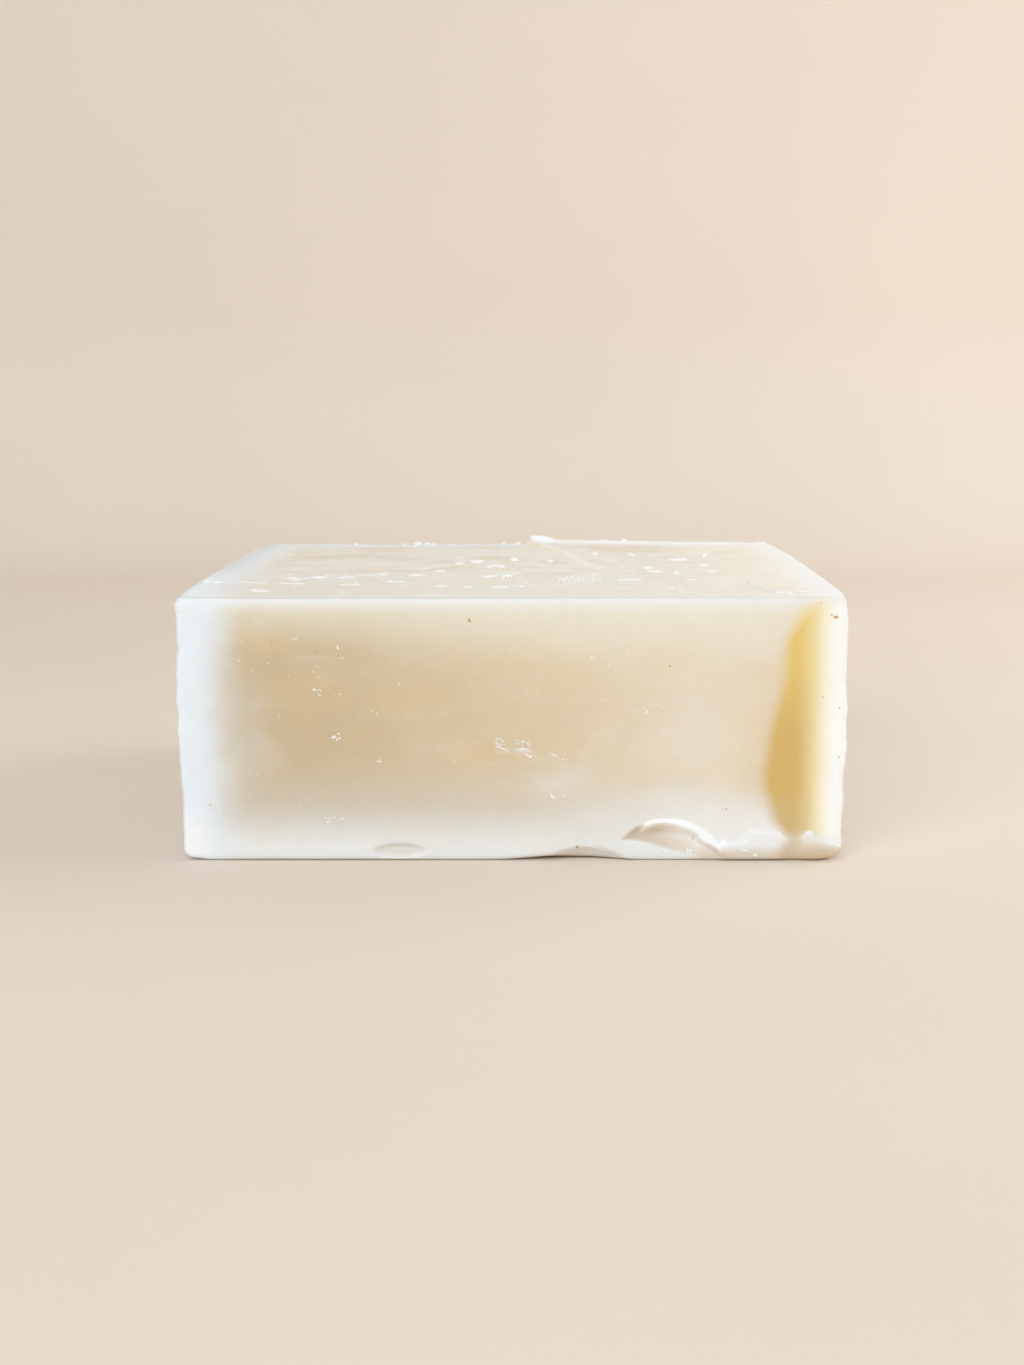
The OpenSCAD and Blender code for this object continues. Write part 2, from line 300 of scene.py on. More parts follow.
# Brown grains on the front face: place, height, size
SPECKS = [
    (-6.1, 35.7, 0.58), (-8.8, 31.5, 0.20), (44.5, 38.2, 0.24), (46.7, 36.1, 0.62), (46.1, 36.4, 0.34),
    (45.1, 24.4, 0.24), (47.2, 22.8, 0.30), (47.4, 15.5, 0.30), (40.8, 11.2, 0.30), (-44.3, 8.4, 0.30),
    (-42.3, 6.9, 0.22), (9.6, 2.0, 0.58), (31.4, 7.8, 0.30), (22.9, 29.0, 0.34), (-28.2, 31.3, 0.26),
    (-34.7, 32.5, 0.24), (-37.7, 32.5, 0.18), (-26.5, 24.7, 0.24), (3.4, 26.6, 0.16), (26.6, 3.1, 0.30),
    (33.5, 17.0, 0.18), (-14.2, 9.0, 0.16)]
# Long pale flakes on the top: place, distance in from the front, length, width, turn
TOP_FLAKES = [
    (-27.0, 28.6, 4.0, 1.0, 5), (-18.4, 21.0, 3.6, 0.7, 3), (-24.6, 16.4, 3.4, 0.6, -2),
    (-33.6, 18.6, 4.2, 0.7, 3), (-37.6, 8.4, 2.4, 1.0, -3), (-45.6, 15.0, 3.0, 1.4, 6),
    (-31.2, 27.6, 3.6, 1.6, 7), (-34.4, 25.6, 3.0, 1.6, 4), (-21.0, 32.0, 3.0, 1.1, 0),
    (-15.8, 31.4, 4.2, 1.2, -2), (-11.8, 38.6, 3.4, 2.0, 4), (-6.4, 53.0, 3.4, 4.0, 3),
    (-9.6, 50.0, 2.0, 2.4, 0), (-3.0, 45.0, 5.2, 2.4, 0), (-3.6, 28.6, 3.2, 2.2, 2),
    (-0.6, 30.0, 2.6, 2.0, -4), (-11.0, 15.6, 2.4, 1.0, 0), (-6.6, 14.4, 1.6, 0.8, 0),
    (-2.2, 13.0, 3.0, 1.0, 1), (1.4, 13.6, 2.0, 0.8, 2), (0.3, 58.0, 2.0, 5.0, 0),
    (6.3, 55.0, 1.4, 3.0, 0), (14.4, 66.0, 1.6, 4.0, 0), (20.6, 66.0, 2.0, 4.6, 4),
    (22.0, 42.0, 1.8, 3.6, 4), (18.0, 24.0, 4.6, 1.6, -2), (22.8, 36.0, 3.2, 2.2, -4),
    (26.0, 34.0, 1.8, 1.8, 2), (28.6, 58.0, 3.2, 3.4, 0), (34.0, 66.0, 1.2, 3.6, 0),
    (31.6, 47.0, 2.2, 2.4, 3), (32.2, 36.0, 2.0, 2.2, -4), (28.0, 24.0, 2.0, 1.4, 0),
    (41.0, 35.0, 2.2, 1.4, 0), (38.8, 3.8, 2.0, 2.2, 10), (40.2, 2.2, 1.6, 1.2, 0),
    (36.6, 16.0, 1.0, 1.0, 0), (24.0, 11.0, 0.8, 0.8, 0)]
# Bright streaks on the top, most of them in its dried left rim: width, then points
RIM_CREASES = [
    (0.8, [(-48.0, -26.0), (-46.5, -27.5), (-44.8, -30.4)]),
    (0.4, [(-48.4, -43.1), (-48.4, -33.1), (-48.4, -21.0)]),
    (0.4, [(-48.4, -9.8), (-48.2, 0.3), (-47.8, 11.1)]),
    (0.3, [(-47.9, 16.0), (-47.4, 24.0), (-46.8, 30.0)]),
    (0.5, [(-41.6, -28.6), (-39.6, -28.2), (-37.7, -28.6)]),
    (0.5, [(-38.6, -39.1), (-37.2, -38.5), (-35.8, -37.8)]),
    (0.5, [(-34.5, -24.0), (-32.7, -19.5), (-30.6, -14.8), (-28.7, -16.4)]),
    (0.4, [(-25.2, -14.9), (-22.4, -13.4), (-20.0, -8.6)]),
    (0.3, [(41.7, -41.7), (44.4, -40.4), (48.0, -39.1)])]
# Rise of the top along its side rims: distance in from the front, height
RIM_LEFT = [(0, 0.1), (5, 0.5), (14, 0.6), (24, 0.9), (36, 0.7), (58, 0.5), (76, 0.3), (91, 0.0)]
RIM_RIGHT = [
    (0, 0.1), (4, 0.4), (14, 0.55), (22, 0.75), (42, 0.9), (55, 1.0), (64, 0.9), (72, 0.7), (82, 0.5),
    (91, 0.1)]
# How far in from the side the rise reaches
RIM_WIDE = 16.0
# How fast the raised part of the top falls towards the right
STEP_FALL = 1.1
# Stiff bristle marks on the top, in rows: place, distance in from the front, how many, step
HATCH_ROWS = [
    (8.0, 19.0, 11, 0.55), (7.2, 22.0, 13, 0.55), (7.6, 25.0, 12, 0.55), (8.6, 28.0, 10, 0.5),
    (-1.8, 26.4, 7, 0.5), (-2.6, 31.6, 8, 0.5)]
# A scratch on the top near the front right corner, from rear to front
SCRATCH = [(36.0, -25.9), (37.2, -31.6), (37.8, -38.5), (38.3, -41.2)]
# Crumbs along the rear of the top: place left or right, distance in from the rear, size
REAR_CRUMBS = [
    (-18.7, 0.7, 1.5), (-16.9, 0.9, 1.1), (-15.6, 0.6, 0.8), (-21.2, 1.3, 0.7), (0.6, 0.8, 1.3),
    (-2.2, 1.4, 0.8), (3.4, 1.6, 1.0), (20.8, 0.8, 1.1), (-30.4, 1.1, 0.8), (33.0, 1.0, 0.7)]


class Block:
    """The worn block, as a rule that gives the place of any point on its skin. All in millimetres."""

    def __init__(self, sizes):
        for name in SoapSizes.__annotations__:
            setattr(self, name, getattr(sizes, name) / MM)
        self.half_w = self.width / 2
        self.half_d = self.depth / 2
        self.scoop_x = self.half_w - self.scoop_from_right
        self.scoop_z = self.scoop_top - self.scoop_r
        self.step_x = self.half_w - self.step_from_right
        self.slice_x = self.half_w - self.slice_from_right
        half_len = self.slice_len / 2
        outline_r = (half_len ** 2 + self.slice_tall ** 2) / (2 * self.slice_tall)
        self.slice_below = outline_r - self.slice_tall
        side = self.slice_tall * (outline_r + self.slice_below)
        self.slice_out = (side - self.slice_deep ** 2) / (2 * self.slice_deep)
        self.slice_r = math.hypot(self.slice_out, outline_r)

    def edge_radius(self, left, right, front, rear, base, top):
        """The radius that rules here, from the distances to the six faces."""
        edges = (
            (left, front, self.front_left_r), (right, front, self.front_right_r),
            (left, rear, self.rear_left_r), (right, rear, self.rear_right_r),
            (top, front, self.top_front_r), (top, rear, self.top_rear_r),
            (top, left, self.top_left_r), (top, right, self.top_right_r),
            (base, front, self.base_front_r), (base, rear, self.base_rear_r),
            (base, left, self.base_left_r), (base, right, self.base_right_r))
        total = weight = 0.0
        for a, b, radius in edges:
            w = 1.0 / (a * a + b * b + 0.05) ** 2
            total += w * radius
            weight += w
        return total / weight

    def core(self, x, y, z, r):
        """The nearest point that lies at least r inside every face."""
        return Vector((
            min(self.half_w - r, max(r - self.half_w, x)),
            min(self.half_d - r, max(r - self.half_d, y)),
            min(self.height - r, max(r, z))))

    def rounded(self, x, y, z):
        """Takes a point of the sharp block to the rounded one; also gives the way out."""
        r = self.edge_radius(
            x + self.half_w, self.half_w - x, y + self.half_d, self.half_d - y, z, self.height - z)
        r *= 1.0 + 0.22 * grain(*self.core(x, y, z, r), 7.0, 3.0)
        core = self.core(x, y, z, r)
        out = (Vector((x, y, z)) - core).normalized()
        return core + out * r, out

    def trim_corner(self, place):
        """Rounds the block as seen from the front, at its four corners."""
        left = place.x < 0
        low = place.z < self.height / 2
        radius = {
            (True, True): self.base_left_r, (False, True): self.base_right_r,
            (True, False): 0.9 * self.top_left_r, (False, False): self.top_right_r}[(left, low)]
        middle_x = (radius - self.half_w) if left else (self.half_w - radius)
        middle_z = radius if low else self.height - radius
        across, up = place.x - middle_x, place.z - middle_z
        if (across < 0) != left or (up < 0) != low:
            return
        far = math.hypot(across, up)
        if far > radius:
            place.x = middle_x + across * radius / far
            place.z = middle_z + up * radius / far

    def scoop(self, x, z):
        """Distances inside the scoop's outline and above its lower edge, and band against floor."""
        across, up = 0.94 * (x - self.scoop_x), z - self.scoop_z
        wall = self.scoop_r - math.hypot(across, up) + 0.10 * grain(x, 0, z, 1.6, 5.0)
        above = z - flowing(SCOOP_LOWER, x)
        crease = min(0.8 * (z - flowing(SCOOP_INNER, x)), 1.2 * (x - BAND_START))
        crease += 0.07 * grain(x, 0, z, 0.8, 9.0)
        return wall, above, crease

    def hollow(self, x, z):
        """Depth of the scoop below the front face."""
        wall, above, crease = self.scoop(x, z)
        if wall <= 0 or above <= 0:
            return 0.0
        floor = soft_min(0.45 * above, self.scoop_deep, 0.3)
        return floor * soft(0.0, 1.4 - 0.7 * soft(24.0, 28.0, x), -crease) * soft(-0.1, 1.3, wall)

    def bead(self, x, z):
        """Soap pushed up into a ridge that rises from the scoop's outline to the torn band's edge."""
        wall, _, crease = self.scoop(x, z)
        if wall <= -0.1 or crease <= -1.0:
            return 0.0
        turn = math.degrees(math.atan2(z - self.scoop_z, x - self.scoop_x))
        rise = 0.25 * soft(-0.1, 0.15, wall)
        if wall > 0:
            rise += 0.75 * wall / (wall + max(crease, 0.0) + 0.05)
        round_the_scoop = soft(8, 26, turn) * (1 - soft(64, 118, turn))
        return self.bead_proud * rise * soft(-0.9, 0.0, crease) * round_the_scoop

    def smear(self, x, z):
        """Distance inside the outline of the soap smeared over the foot at the right."""
        ragged = 0.12 * grain(x, 0, z, 0.9, 8.0)
        return min(along(SMEAR_UPPER, x) - z + ragged, x - SMEAR_START, 2.0)

    def front_relief(self, x, z):
        """How far the front face stands out of its plane."""
        out = 0.10 * grain(x, 0, z, 17.0) + 0.035 * grain(x, 0, z, 4.5, 2.0)
        out += 0.012 * grain(x, 0, z, 1.3, 4.0)
        out -= self.hollow(x, z)
        out += self.bead(x, z)
        gap_x, gap_half, gap_share = SMEAR_GAP
        covered = 1 - gap_share * hump(x, gap_x, gap_half)
        out += self.smear_thick * covered * soft(-0.10, 0.16, self.smear(x, z))
        nick_x, nick_z, nick_half, nick_tall, nick_deep = NICK
        nick = 1 - ((x - nick_x) / nick_half) ** 2 - ((z - nick_z) / nick_tall) ** 2
        out -= nick_deep * soft(-0.05, 0.7, nick)
        dint_x, dint_z, dint_reach, dint_deep = DINT
        out -= dint_deep * hump(math.hypot((x - dint_x) / 1.9, z - dint_z), 0, dint_reach)
        if x < LUMPY_FROM:
            out += 0.10 * soft(LUMPY_FROM, LUMPY_FROM - 4.0, x) * grain(x * 1.6, 0, z, 2.6, 13.0)
        return out

    def step(self, x, y):
        """Height of the raised part of the top here, and the distance inside its edge."""
        back = self.half_d - y
        edge = self.step_x + self.step_skew * back / self.step_run
        edge += 0.5 * grain(x, y, 0, 3.5, 6.0) + 1.2 * grain(0, y, 0, 14.0, 9.0) * soft(0, 12, back)
        fall = STEP_FALL * (x - self.step_x) / self.step_from_right
        height = self.step_h * max(0.0, 1 - back / self.step_run - fall)
        return height, x - edge

    def top_relief(self, x, y):
        """How far the top face stands above its plane."""
        height, inside = self.step(x, y)
        up = height * soft(-0.5, 0.8, inside)
        up += 0.25 * height * math.exp(-((inside - 0.5) / 0.9) ** 2)
        up += 0.14 * grain(x, y, 0, 15.0, 1.0) + 0.05 * grain(x, y * 0.6, 0, 4.2, 7.0)
        up += 0.02 * grain(x, y, 0, 1.7, 2.0)
        deep = y + self.half_d
        up += flowing(RIM_LEFT, deep) * soft(RIM_WIDE, 2.0, x + self.half_w)
        up += flowing(RIM_RIGHT, deep) * soft(RIM_WIDE, 2.0, self.half_w - x)
        back = self.half_d - y
        rear = soft(3.0, 0.4, back) if back > 0.4 else 1.0
        up += rear * (0.18 * grain(x, 0, 0, 2.3, 4.0) + 0.10 * grain(x, 0, 0, 0.8, 1.0))
        if inside > 0:
            up += 0.22 * soft(0, 3, inside) * hump(back, 1.3, 2.6)
        middle = self.step_x + self.curl_len / 2
        up += self.curl_h * hump(x, middle - 0.6, self.curl_len * 0.55) * hump(back, 1.0, 1.7)
        return up

    def plain_relief(self, x, y, z):
        """Gentle waves of the faces that were cut and handled."""
        return 0.14 * grain(x, y, z, 16.0, 11.0) + 0.05 * grain(x, y, z, 4.0, 12.0)

    def skin(self, x, y, z):
        """Place of a point of the skin, the way out of the block there, and its marks."""
        place, out = self.rounded(x, y, z)
        self.trim_corner(place)
        front = soft(0.25, 0.85, -out.y)
        top = soft(0.25, 0.85, out.z)
        other = max(0.0, 1 - front - top)
        lifted = soft(0.3, 3.0, place.z)
        moved = place.copy()
        if front > 0:
            moved.y -= front * self.front_relief(place.x, place.z) * soft(-0.2, 0.5, place.z)
        if top > 0:
            moved.z += top * self.top_relief(place.x, place.y)
        moved += out * other * lifted * self.plain_relief(place.x, place.y, place.z)
        self.shape_front_edges(place, moved)
        sliced = self.take_slice(moved)
        wall, above, crease = self.scoop(place.x, place.z)
        marks = {
            "side": out,
            "scoop": min(wall, above) if front > 0.3 else OUTSIDE,
            "crease": crease,
            "smear": self.smear(place.x, place.z) if front > 0.05 else OUTSIDE,
            "honey": place.x - flowing(HONEY_LEFT, place.z) - 0.12 * grain(0, 0, place.z, 4.0, 2.0),
            "slice": sliced,
            "step": self.step(place.x, place.y)[1],
        }
        return moved, out, marks

    def shape_front_edges(self, place, moved):
        """Bumps and notches of the two upright front edges, and the lifted foot."""
        side = 1 if place.x > 0 else -1
        inward = self.half_w - abs(place.x)
        back = place.y + self.half_d
        near = soft(3.0, 0.6, inward) if inward > 0.6 else 1.0
        near *= soft(3.2, 0.8, back) if back > 0.8 else 1.0
        if near > 0:
            for bump_side, height, half, stands in EDGE_BUMPS:
                if bump_side == side:
                    moved.x += side * near * stands * hump(place.z, height, half)
            moved.x += side * near * 0.10 * grain(0, 0, place.z, 1.1, 3.0)
        low = soft(2.2, 0.3, place.z) if place.z > 0.3 else 1.0
        low *= soft(3.0, 0.5, back) if back > 0.5 else 1.0
        middle, half, high = FOOT_LIFT
        moved.z += low * high * hump(place.x, middle, half)
        moved.z += low * FOOT_ENDS * soft(44.0, 48.0, abs(place.x))

    def take_slice(self, moved):
        """Moves a point out of the ball that took the slice; gives how deep it was inside."""
        across = moved.x - self.slice_x
        up = moved.z + self.slice_below
        left = self.slice_r ** 2 - across ** 2 - up ** 2
        if left <= 0:
            return OUTSIDE
        wall = math.sqrt(left) - self.half_d - self.slice_out
        if moved.y < wall:
            moved.y = wall + 0.05 * (moved.y + self.half_d)
            return 0.5 * (wall + self.half_d)
        return -0.4


# Each face's place in the map: left, low, width, height, as shares of the whole
CHARTS = {
    "front": (0.004, 0.600, 0.992, 0.396), "top": (0.004, 0.006, 0.620, 0.586),
    "right": (0.632, 0.430, 0.364, 0.160), "left": (0.632, 0.262, 0.364, 0.160),
    "rear": (0.632, 0.106, 0.364, 0.148), "base": (0.632, 0.006, 0.100, 0.092)}


class Skin:
    """A net of points over the six faces, shared along every edge."""

    def __init__(self, block):
        self.block = block
        w, d, h = block.half_w, block.half_d, block.height
        self.xs = spaced(-w, w, near_low=5.1, near_high=3.0, fine=0.3, step=0.36)
        self.ys = spaced(-d, d, near_low=2.4, near_high=5.4, fine=0.24, step=0.8)
        self.zs = spaced(0.0, h, near_low=7.6, near_high=2.0, fine=0.25, step=0.5)
        self.index = {}
        self.places = []
        self.marks = []
        self.faces = []
        self.corners = []

    def point(self, i, j, k):
        """The number of the point at these places; the point is made the first time."""
        key = (i, j, k)
        if key not in self.index:
            self.index[key] = len(self.places)
            place, _, marks = self.block.skin(self.xs[i], self.ys[j], self.zs[k])
            self.places.append(place)
            self.marks.append(marks)
        return self.index[key]

    @staticmethod
    def thinned(places, near_low, near_high, every):
        """Keeps every place near both ends and one in a few between them."""
        last = len(places) - 1
        low, high = places[0] + near_low, places[-1] - near_high
        kept = [0]
        for i in range(1, last):
            if places[i] < low or places[i] > high or i - kept[-1] >= every:
                kept.append(i)
        return kept + [last]

    def cover(self, us, vs, at, outward, sheet):
        """Fills one face. us and vs are the kept places, at gives a point, sheet its map place."""
        last_u, last_v = us[-1], vs[-1]
        for u0, u1 in zip(us, us[1:]):
            for v0, v1 in zip(vs, vs[1:]):
                low = range(u0, u1) if v0 == 0 else [u0]
                right = range(v0, v1) if u1 == last_u else [v0]
                high = range(u1, u0, -1) if v1 == last_v else [u1]
                left = range(v1, v0, -1) if u0 == 0 else [v1]
                ring = [(u, v0) for u in low] + [(u1, v) for v in right]
                ring += [(u, v1) for u in high] + [(u0, v) for v in left]
                if not outward:
                    ring.reverse()
                self.faces.append([self.point(*at(u, v)) for u, v in ring])
                self.corners += [sheet(u, v) for u, v in ring]

    def build(self):
        """Covers the six faces, the seen ones finest."""
        x, y, z = self.xs, self.ys, self.zs
        last_i, last_j, last_k = len(x) - 1, len(y) - 1, len(z) - 1
        all_x, all_y, all_z = range(len(x)), range(len(y)), range(len(z))
        few_x = self.thinned(x, near_low=5.1, near_high=3.0, every=2)
        few_z = self.thinned(z, near_low=3.2, near_high=2.2, every=2)
        base_x = self.thinned(x, near_low=5.1, near_high=3.4, every=9)
        base_y = self.thinned(y, near_low=2.5, near_high=5.5, every=6)

        def chart(face, a, b):
            """Places a face in its own part of the map."""
            left, low, wide, tall = CHARTS[face]

            def sheet(u, v):
                return (left + wide * (a[u] - a[0]) / (a[-1] - a[0]),
                        low + tall * (b[v] - b[0]) / (b[-1] - b[0]))
            return sheet

        self.cover(all_x, all_z, lambda u, v: (u, 0, v), True, chart("front", x, z))
        self.cover(all_x, all_y, lambda u, v: (u, v, last_k), True, chart("top", x, y))
        self.cover(all_y, few_z, lambda u, v: (last_i, u, v), True, chart("right", y, z))
        self.cover(all_y, few_z, lambda u, v: (0, u, v), False, chart("left", y, z))
        self.cover(few_x, few_z, lambda u, v: (u, last_j, v), False, chart("rear", x, z))
        self.cover(base_x, base_y, lambda u, v: (u, v, 0), False, chart("base", x, y))


class Scraps:
    """Collects small bits of soap or grain that lie on the block's skin."""

    def __init__(self, block):
        self.block = block
        self.places = []
        self.faces = []

    def on_front(self, x, z, lift):
        """A point at a height above the front face."""
        place, out, _ = self.block.skin(x, -self.block.half_d, z)
        return place + out * lift

    def on_top(self, x, y, lift):
        """A point at a height above the top face."""
        place, out, _ = self.block.skin(x, y, self.block.height)
        return place + out * lift

    def chip(self, lay, a, b, long, wide, turn, high, seed, sides=9):
        """A low, ragged dome: lay puts a point on the skin, turn is in degrees."""
        cos, sin = math.cos(math.radians(turn)), math.sin(math.radians(turn))
        start = len(self.places)
        for share, lift in ((1.0, 0.0), (0.6, 0.8 * high)):
            for i in range(sides):
                angle = 2 * math.pi * i / sides
                reach = share * (1 + 0.45 * noise.noise(Vector((seed, i * 1.7, 0.0))))
                u, v = reach * long / 2 * math.cos(angle), reach * wide / 2 * math.sin(angle)
                self.places.append(lay(a + u * cos - v * sin, b + u * sin + v * cos, lift))
        self.places.append(lay(a, b, high))
        for i in range(sides):
            j = (i + 1) % sides
            inner, outer = start + sides + i, start + sides + j
            self.faces.append((start + i, start + j, outer, inner))
            self.faces.append((inner, outer, start + 2 * sides))

    def stroke(self, lay, points, wide, high):
        """A thin raised line through the points, fine at both ends."""
        count = 4 * (len(points) - 1)
        start = len(self.places)
        for i in range(count + 1):
            t = i / count
            k = min(len(points) - 2, int(t * (len(points) - 1)))
            part = t * (len(points) - 1) - k
            (a0, b0), (a1, b1) = points[k], points[k + 1]
            far = math.hypot(a1 - a0, b1 - b0)
            across_a, across_b = (b0 - b1) / far, (a1 - a0) / far
            a, b = a0 + (a1 - a0) * part, b0 + (b1 - b0) * part
            uneven = 1 + 0.4 * noise.noise(Vector((a * 3, b * 3, 0)))
            half = wide / 2 * (0.15 + math.sin(math.pi * t) ** 0.7) * uneven
            self.places.append(lay(a + across_a * half, b + across_b * half, 0.0))
            self.places.append(lay(a, b, high))
            self.places.append(lay(a - across_a * half, b - across_b * half, 0.0))
        for i in range(count):
            k = start + 3 * i
            self.faces += [(k, k + 1, k + 4, k + 3), (k + 1, k + 2, k + 5, k + 4)]

    def lump(self, middle, reach, seed):
        """A crumb: a small uneven ball, flat enough to look pressed on."""
        start, rows, sides = len(self.places), 6, 10
        for j in range(rows + 1):
            tilt = math.pi * j / rows
            for i in range(sides):
                turn = 2 * math.pi * i / sides
                flat = math.sin(tilt)
                way = Vector((flat * math.cos(turn), flat * math.sin(turn), math.cos(tilt)))
                swell = 1 + 0.35 * noise.noise(way * 1.6 + Vector((seed, 0, 0)))
                self.places.append(middle + Vector(w * r for w, r in zip(way, reach)) * swell)
        for j in range(rows):
            for i in range(sides):
                k, n = start + j * sides, (i + 1) % sides
                self.faces.append((k + i, k + sides + i, k + sides + n, k + n))


def show(name, data):
    """A new object in the scene."""
    made = bpy.data.objects.new(name, data)
    bpy.context.scene.collection.objects.link(made)
    return made


def smooth_object(name, places, faces, material):
    """A smooth mesh object, from places in metres."""
    mesh = bpy.data.meshes.new(name)
    mesh.from_pydata(places, [], faces)
    mesh.polygons.foreach_set("use_smooth", [True] * len(mesh.polygons))
    mesh.materials.append(material)
    mesh.update()
    return show(name, mesh)


def new_piece(name, places, faces, material):
    """A mesh object, from places in millimetres, that rides with the block."""
    piece = smooth_object(name, [tuple(p * MM for p in place) for place in places], faces, material)
    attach(piece, "root")
    return piece


class Recipe:
    """Writes a material's nodes a line at a time."""

    def __init__(self, name):
        self.material = bpy.data.materials.new(name)
        self.material.use_nodes = True
        self.tree = self.material.node_tree
        self.tree.nodes.clear()
        self.shader = self.tree.nodes.new("ShaderNodeBsdfPrincipled")
        self.output = self.tree.nodes.new("ShaderNodeOutputMaterial")
        self.join(self.shader.outputs["BSDF"], self.output.inputs["Surface"])

    def join(self, value, socket):
        """Links a socket, or sets a plain value."""
        if isinstance(value, bpy.types.NodeSocket):
            self.tree.links.new(value, socket)
        elif hasattr(value, "__len__") and len(value) == 3 and len(socket.default_value) == 4:
            socket.default_value = (*value, 1.0)
        else:
            socket.default_value = value

    def node(self, kind, inputs=(), **settings):
        """A new node, with its inputs by name or number and its settings."""
        made = self.tree.nodes.new(kind)
        for name, value in settings.items():
            setattr(made, name, value)
        for place, value in dict(inputs).items():
            self.join(value, made.inputs[place])
        return made

    def math(self, operation, *values):
        """One sum on its values."""
        return self.node("ShaderNodeMath", enumerate(values), operation=operation).outputs[0]

    def chain(self, operation, values):
        """The same sum over several values, from the first to the last."""
        total = values[0]
        for value in values[1:]:
            total = self.math(operation, total, value)
        return total

    def add(self, *values):
        return self.chain("ADD", values)

    def times(self, *values):
        return self.chain("MULTIPLY", values)

    def largest(self, *values):
        return self.chain("MAXIMUM", values)

    def span(self, value, low, high, at_low=0.0, at_high=1.0):
        """A smooth rise, or fall, between two values."""
        inputs = {"Value": value, "From Min": low, "From Max": high, "To Min": at_low, "To Max": at_high}
        return self.node("ShaderNodeMapRange", inputs, interpolation_type="SMOOTHSTEP").outputs["Result"]

    def mix(self, factor, under, over):
        """Lays one colour over another: none of it at 0, all of it at 1."""
        inputs = {0: factor, 6: under, 7: over}
        return self.node("ShaderNodeMix", inputs, data_type="RGBA").outputs[2]

    def mark(self, name):
        """A mark of the mesh, such as the distance inside an outline."""
        return self.node("ShaderNodeAttribute", attribute_name=name).outputs["Fac"]

    def moved(self, place, scale=(1.0, 1.0, 1.0), by=(0.0, 0.0, 0.0)):
        """A place stretched by scale and then shifted."""
        inputs = {0: place, 1: scale, 2: by}
        return self.node("ShaderNodeVectorMath", inputs, operation="MULTIPLY_ADD").outputs[0]

    def cloud(self, place, size, detail=3.0, rough=0.5, warp=0.0):
        """Noise from 0 to 1 with lumps about size millimetres across."""
        inputs = {
            "Vector": place, "Scale": 1.0 / size, "Detail": detail, "Roughness": rough,
            "Distortion": warp}
        return self.node("ShaderNodeTexNoise", inputs).outputs["Fac"]

    def millimetres(self):
        """The place on the piece, in millimetres."""
        where = self.node("ShaderNodeTexCoord").outputs["Object"]
        return self.moved(where, (1 / MM, 1 / MM, 1 / MM))

    def split(self, vector):
        """The three parts of a vector."""
        return self.node("ShaderNodeSeparateXYZ", {0: vector}).outputs

    def patch(self, place, middle, reach, low=1.0, high=0.2):
        """A soft round or oval patch: 1 at its middle and 0 past its reach, both in millimetres."""
        scale = tuple(1.0 / r for r in reach)
        by = tuple(-m / r for m, r in zip(middle, reach))
        far = self.node("ShaderNodeVectorMath", {0: self.moved(place, scale, by)}, operation="LENGTH")
        return self.span(far.outputs["Value"], low, high)


# Shades of single places, beside the main colours on the panel
# Painted shade: the top darker at its left
TOP_LEFT_SHADE = paint(227, 222, 211)
TOP_RIGHT = paint(252, 246, 230)
TOP_LAYER = paint(233, 238, 241)
# Painted shade where the top's left rim turns down
TOP_LEFT_RIM_SHADE = paint(204, 207, 211)
# Painted shade along the line where the top turns over the front
TOP_ARRIS_SHADE = paint(206, 201, 191)
REAR_FACE = paint(235, 227, 212)
GREYED = paint(205, 200, 186)
DAMP_LEFT = paint(213, 211, 206)
DAMP_RIGHT = paint(226, 224, 220)
RINSED_LEFT = paint(231, 229, 225)
RINSED_RIGHT = paint(240, 240, 238)
DRAINED = paint(255, 255, 255)
# Duller honey at the foot of the band's painted shadow
HONEY_FOOT = paint(205, 186, 152)
# Painted shade in the scoop: darker at its left, lighter near the crease where its slope is in shade
SCOOP_LEFT_SHADE = paint(205, 189, 166)
SCOOP_RIGHT = paint(226, 216, 202)
SCOOP_CREASE_LIT = paint(230, 219, 203)
BESIDE_BAND = paint(245, 244, 242)
TORN_BAND = paint(250, 252, 255)
SMEARED = paint(237, 239, 240)
# Partly the soap's own darker tint, partly painted warm light reflected from a wooden dish
TINT_AND_BOUNCE_LEFT = paint(221, 208, 190)
TINT_AND_BOUNCE_RIGHT = paint(209, 187, 157)
# Darker soap through the thin smear, with painted soft shadow
GAP_TINT_AND_SHADOW = paint(214, 195, 168)
# Soap under the foot's skin, partly painted shade in the nick and the slice
DENT_TINT_AND_SHADE = paint(222, 214, 203)
# Painted light: the line under the step's edge, lightened where the step's face is in shade
STEP_LINE_LIT_REAR = paint(247, 236, 210)
STEP_LINE_LIT_FRONT = paint(243, 234, 217)
CHIP_LIGHT = paint(254, 253, 250)
CHIP_SHADE = paint(239, 238, 234)

# Soft patches on the front face: middle across and up, reach across and up, strength
AMBER_PATCHES = [
    (-36, 33, 8, 3.5, 0.34), (-29, 25, 9, 5, 0.22), (-15, 24, 9, 5, 0.20),
    (-4.5, 15.4, 6, 2.4, 0.40), (3, 29, 13, 5, 0.24)]
HAZE_PATCHES = [
    (26, 20, 8, 9, 0.24), (25, 9, 9, 5, 0.30), (7, 12.5, 7, 3.5, 0.30), (-38, 15, 6, 5, 0.25)]
# How far a front patch reaches into the block, and how far the clouds drift, in millimetres
PATCH_DEEP = 20
DRIFT = 9.0
# Roughness where the skin is smoothest, and what wiping, the top and tearing add to it
ROUGH_LEAST = 0.30
ROUGH_WIPED = 0.26
ROUGH_TOP = 0.06
ROUGH_TORN = 0.16


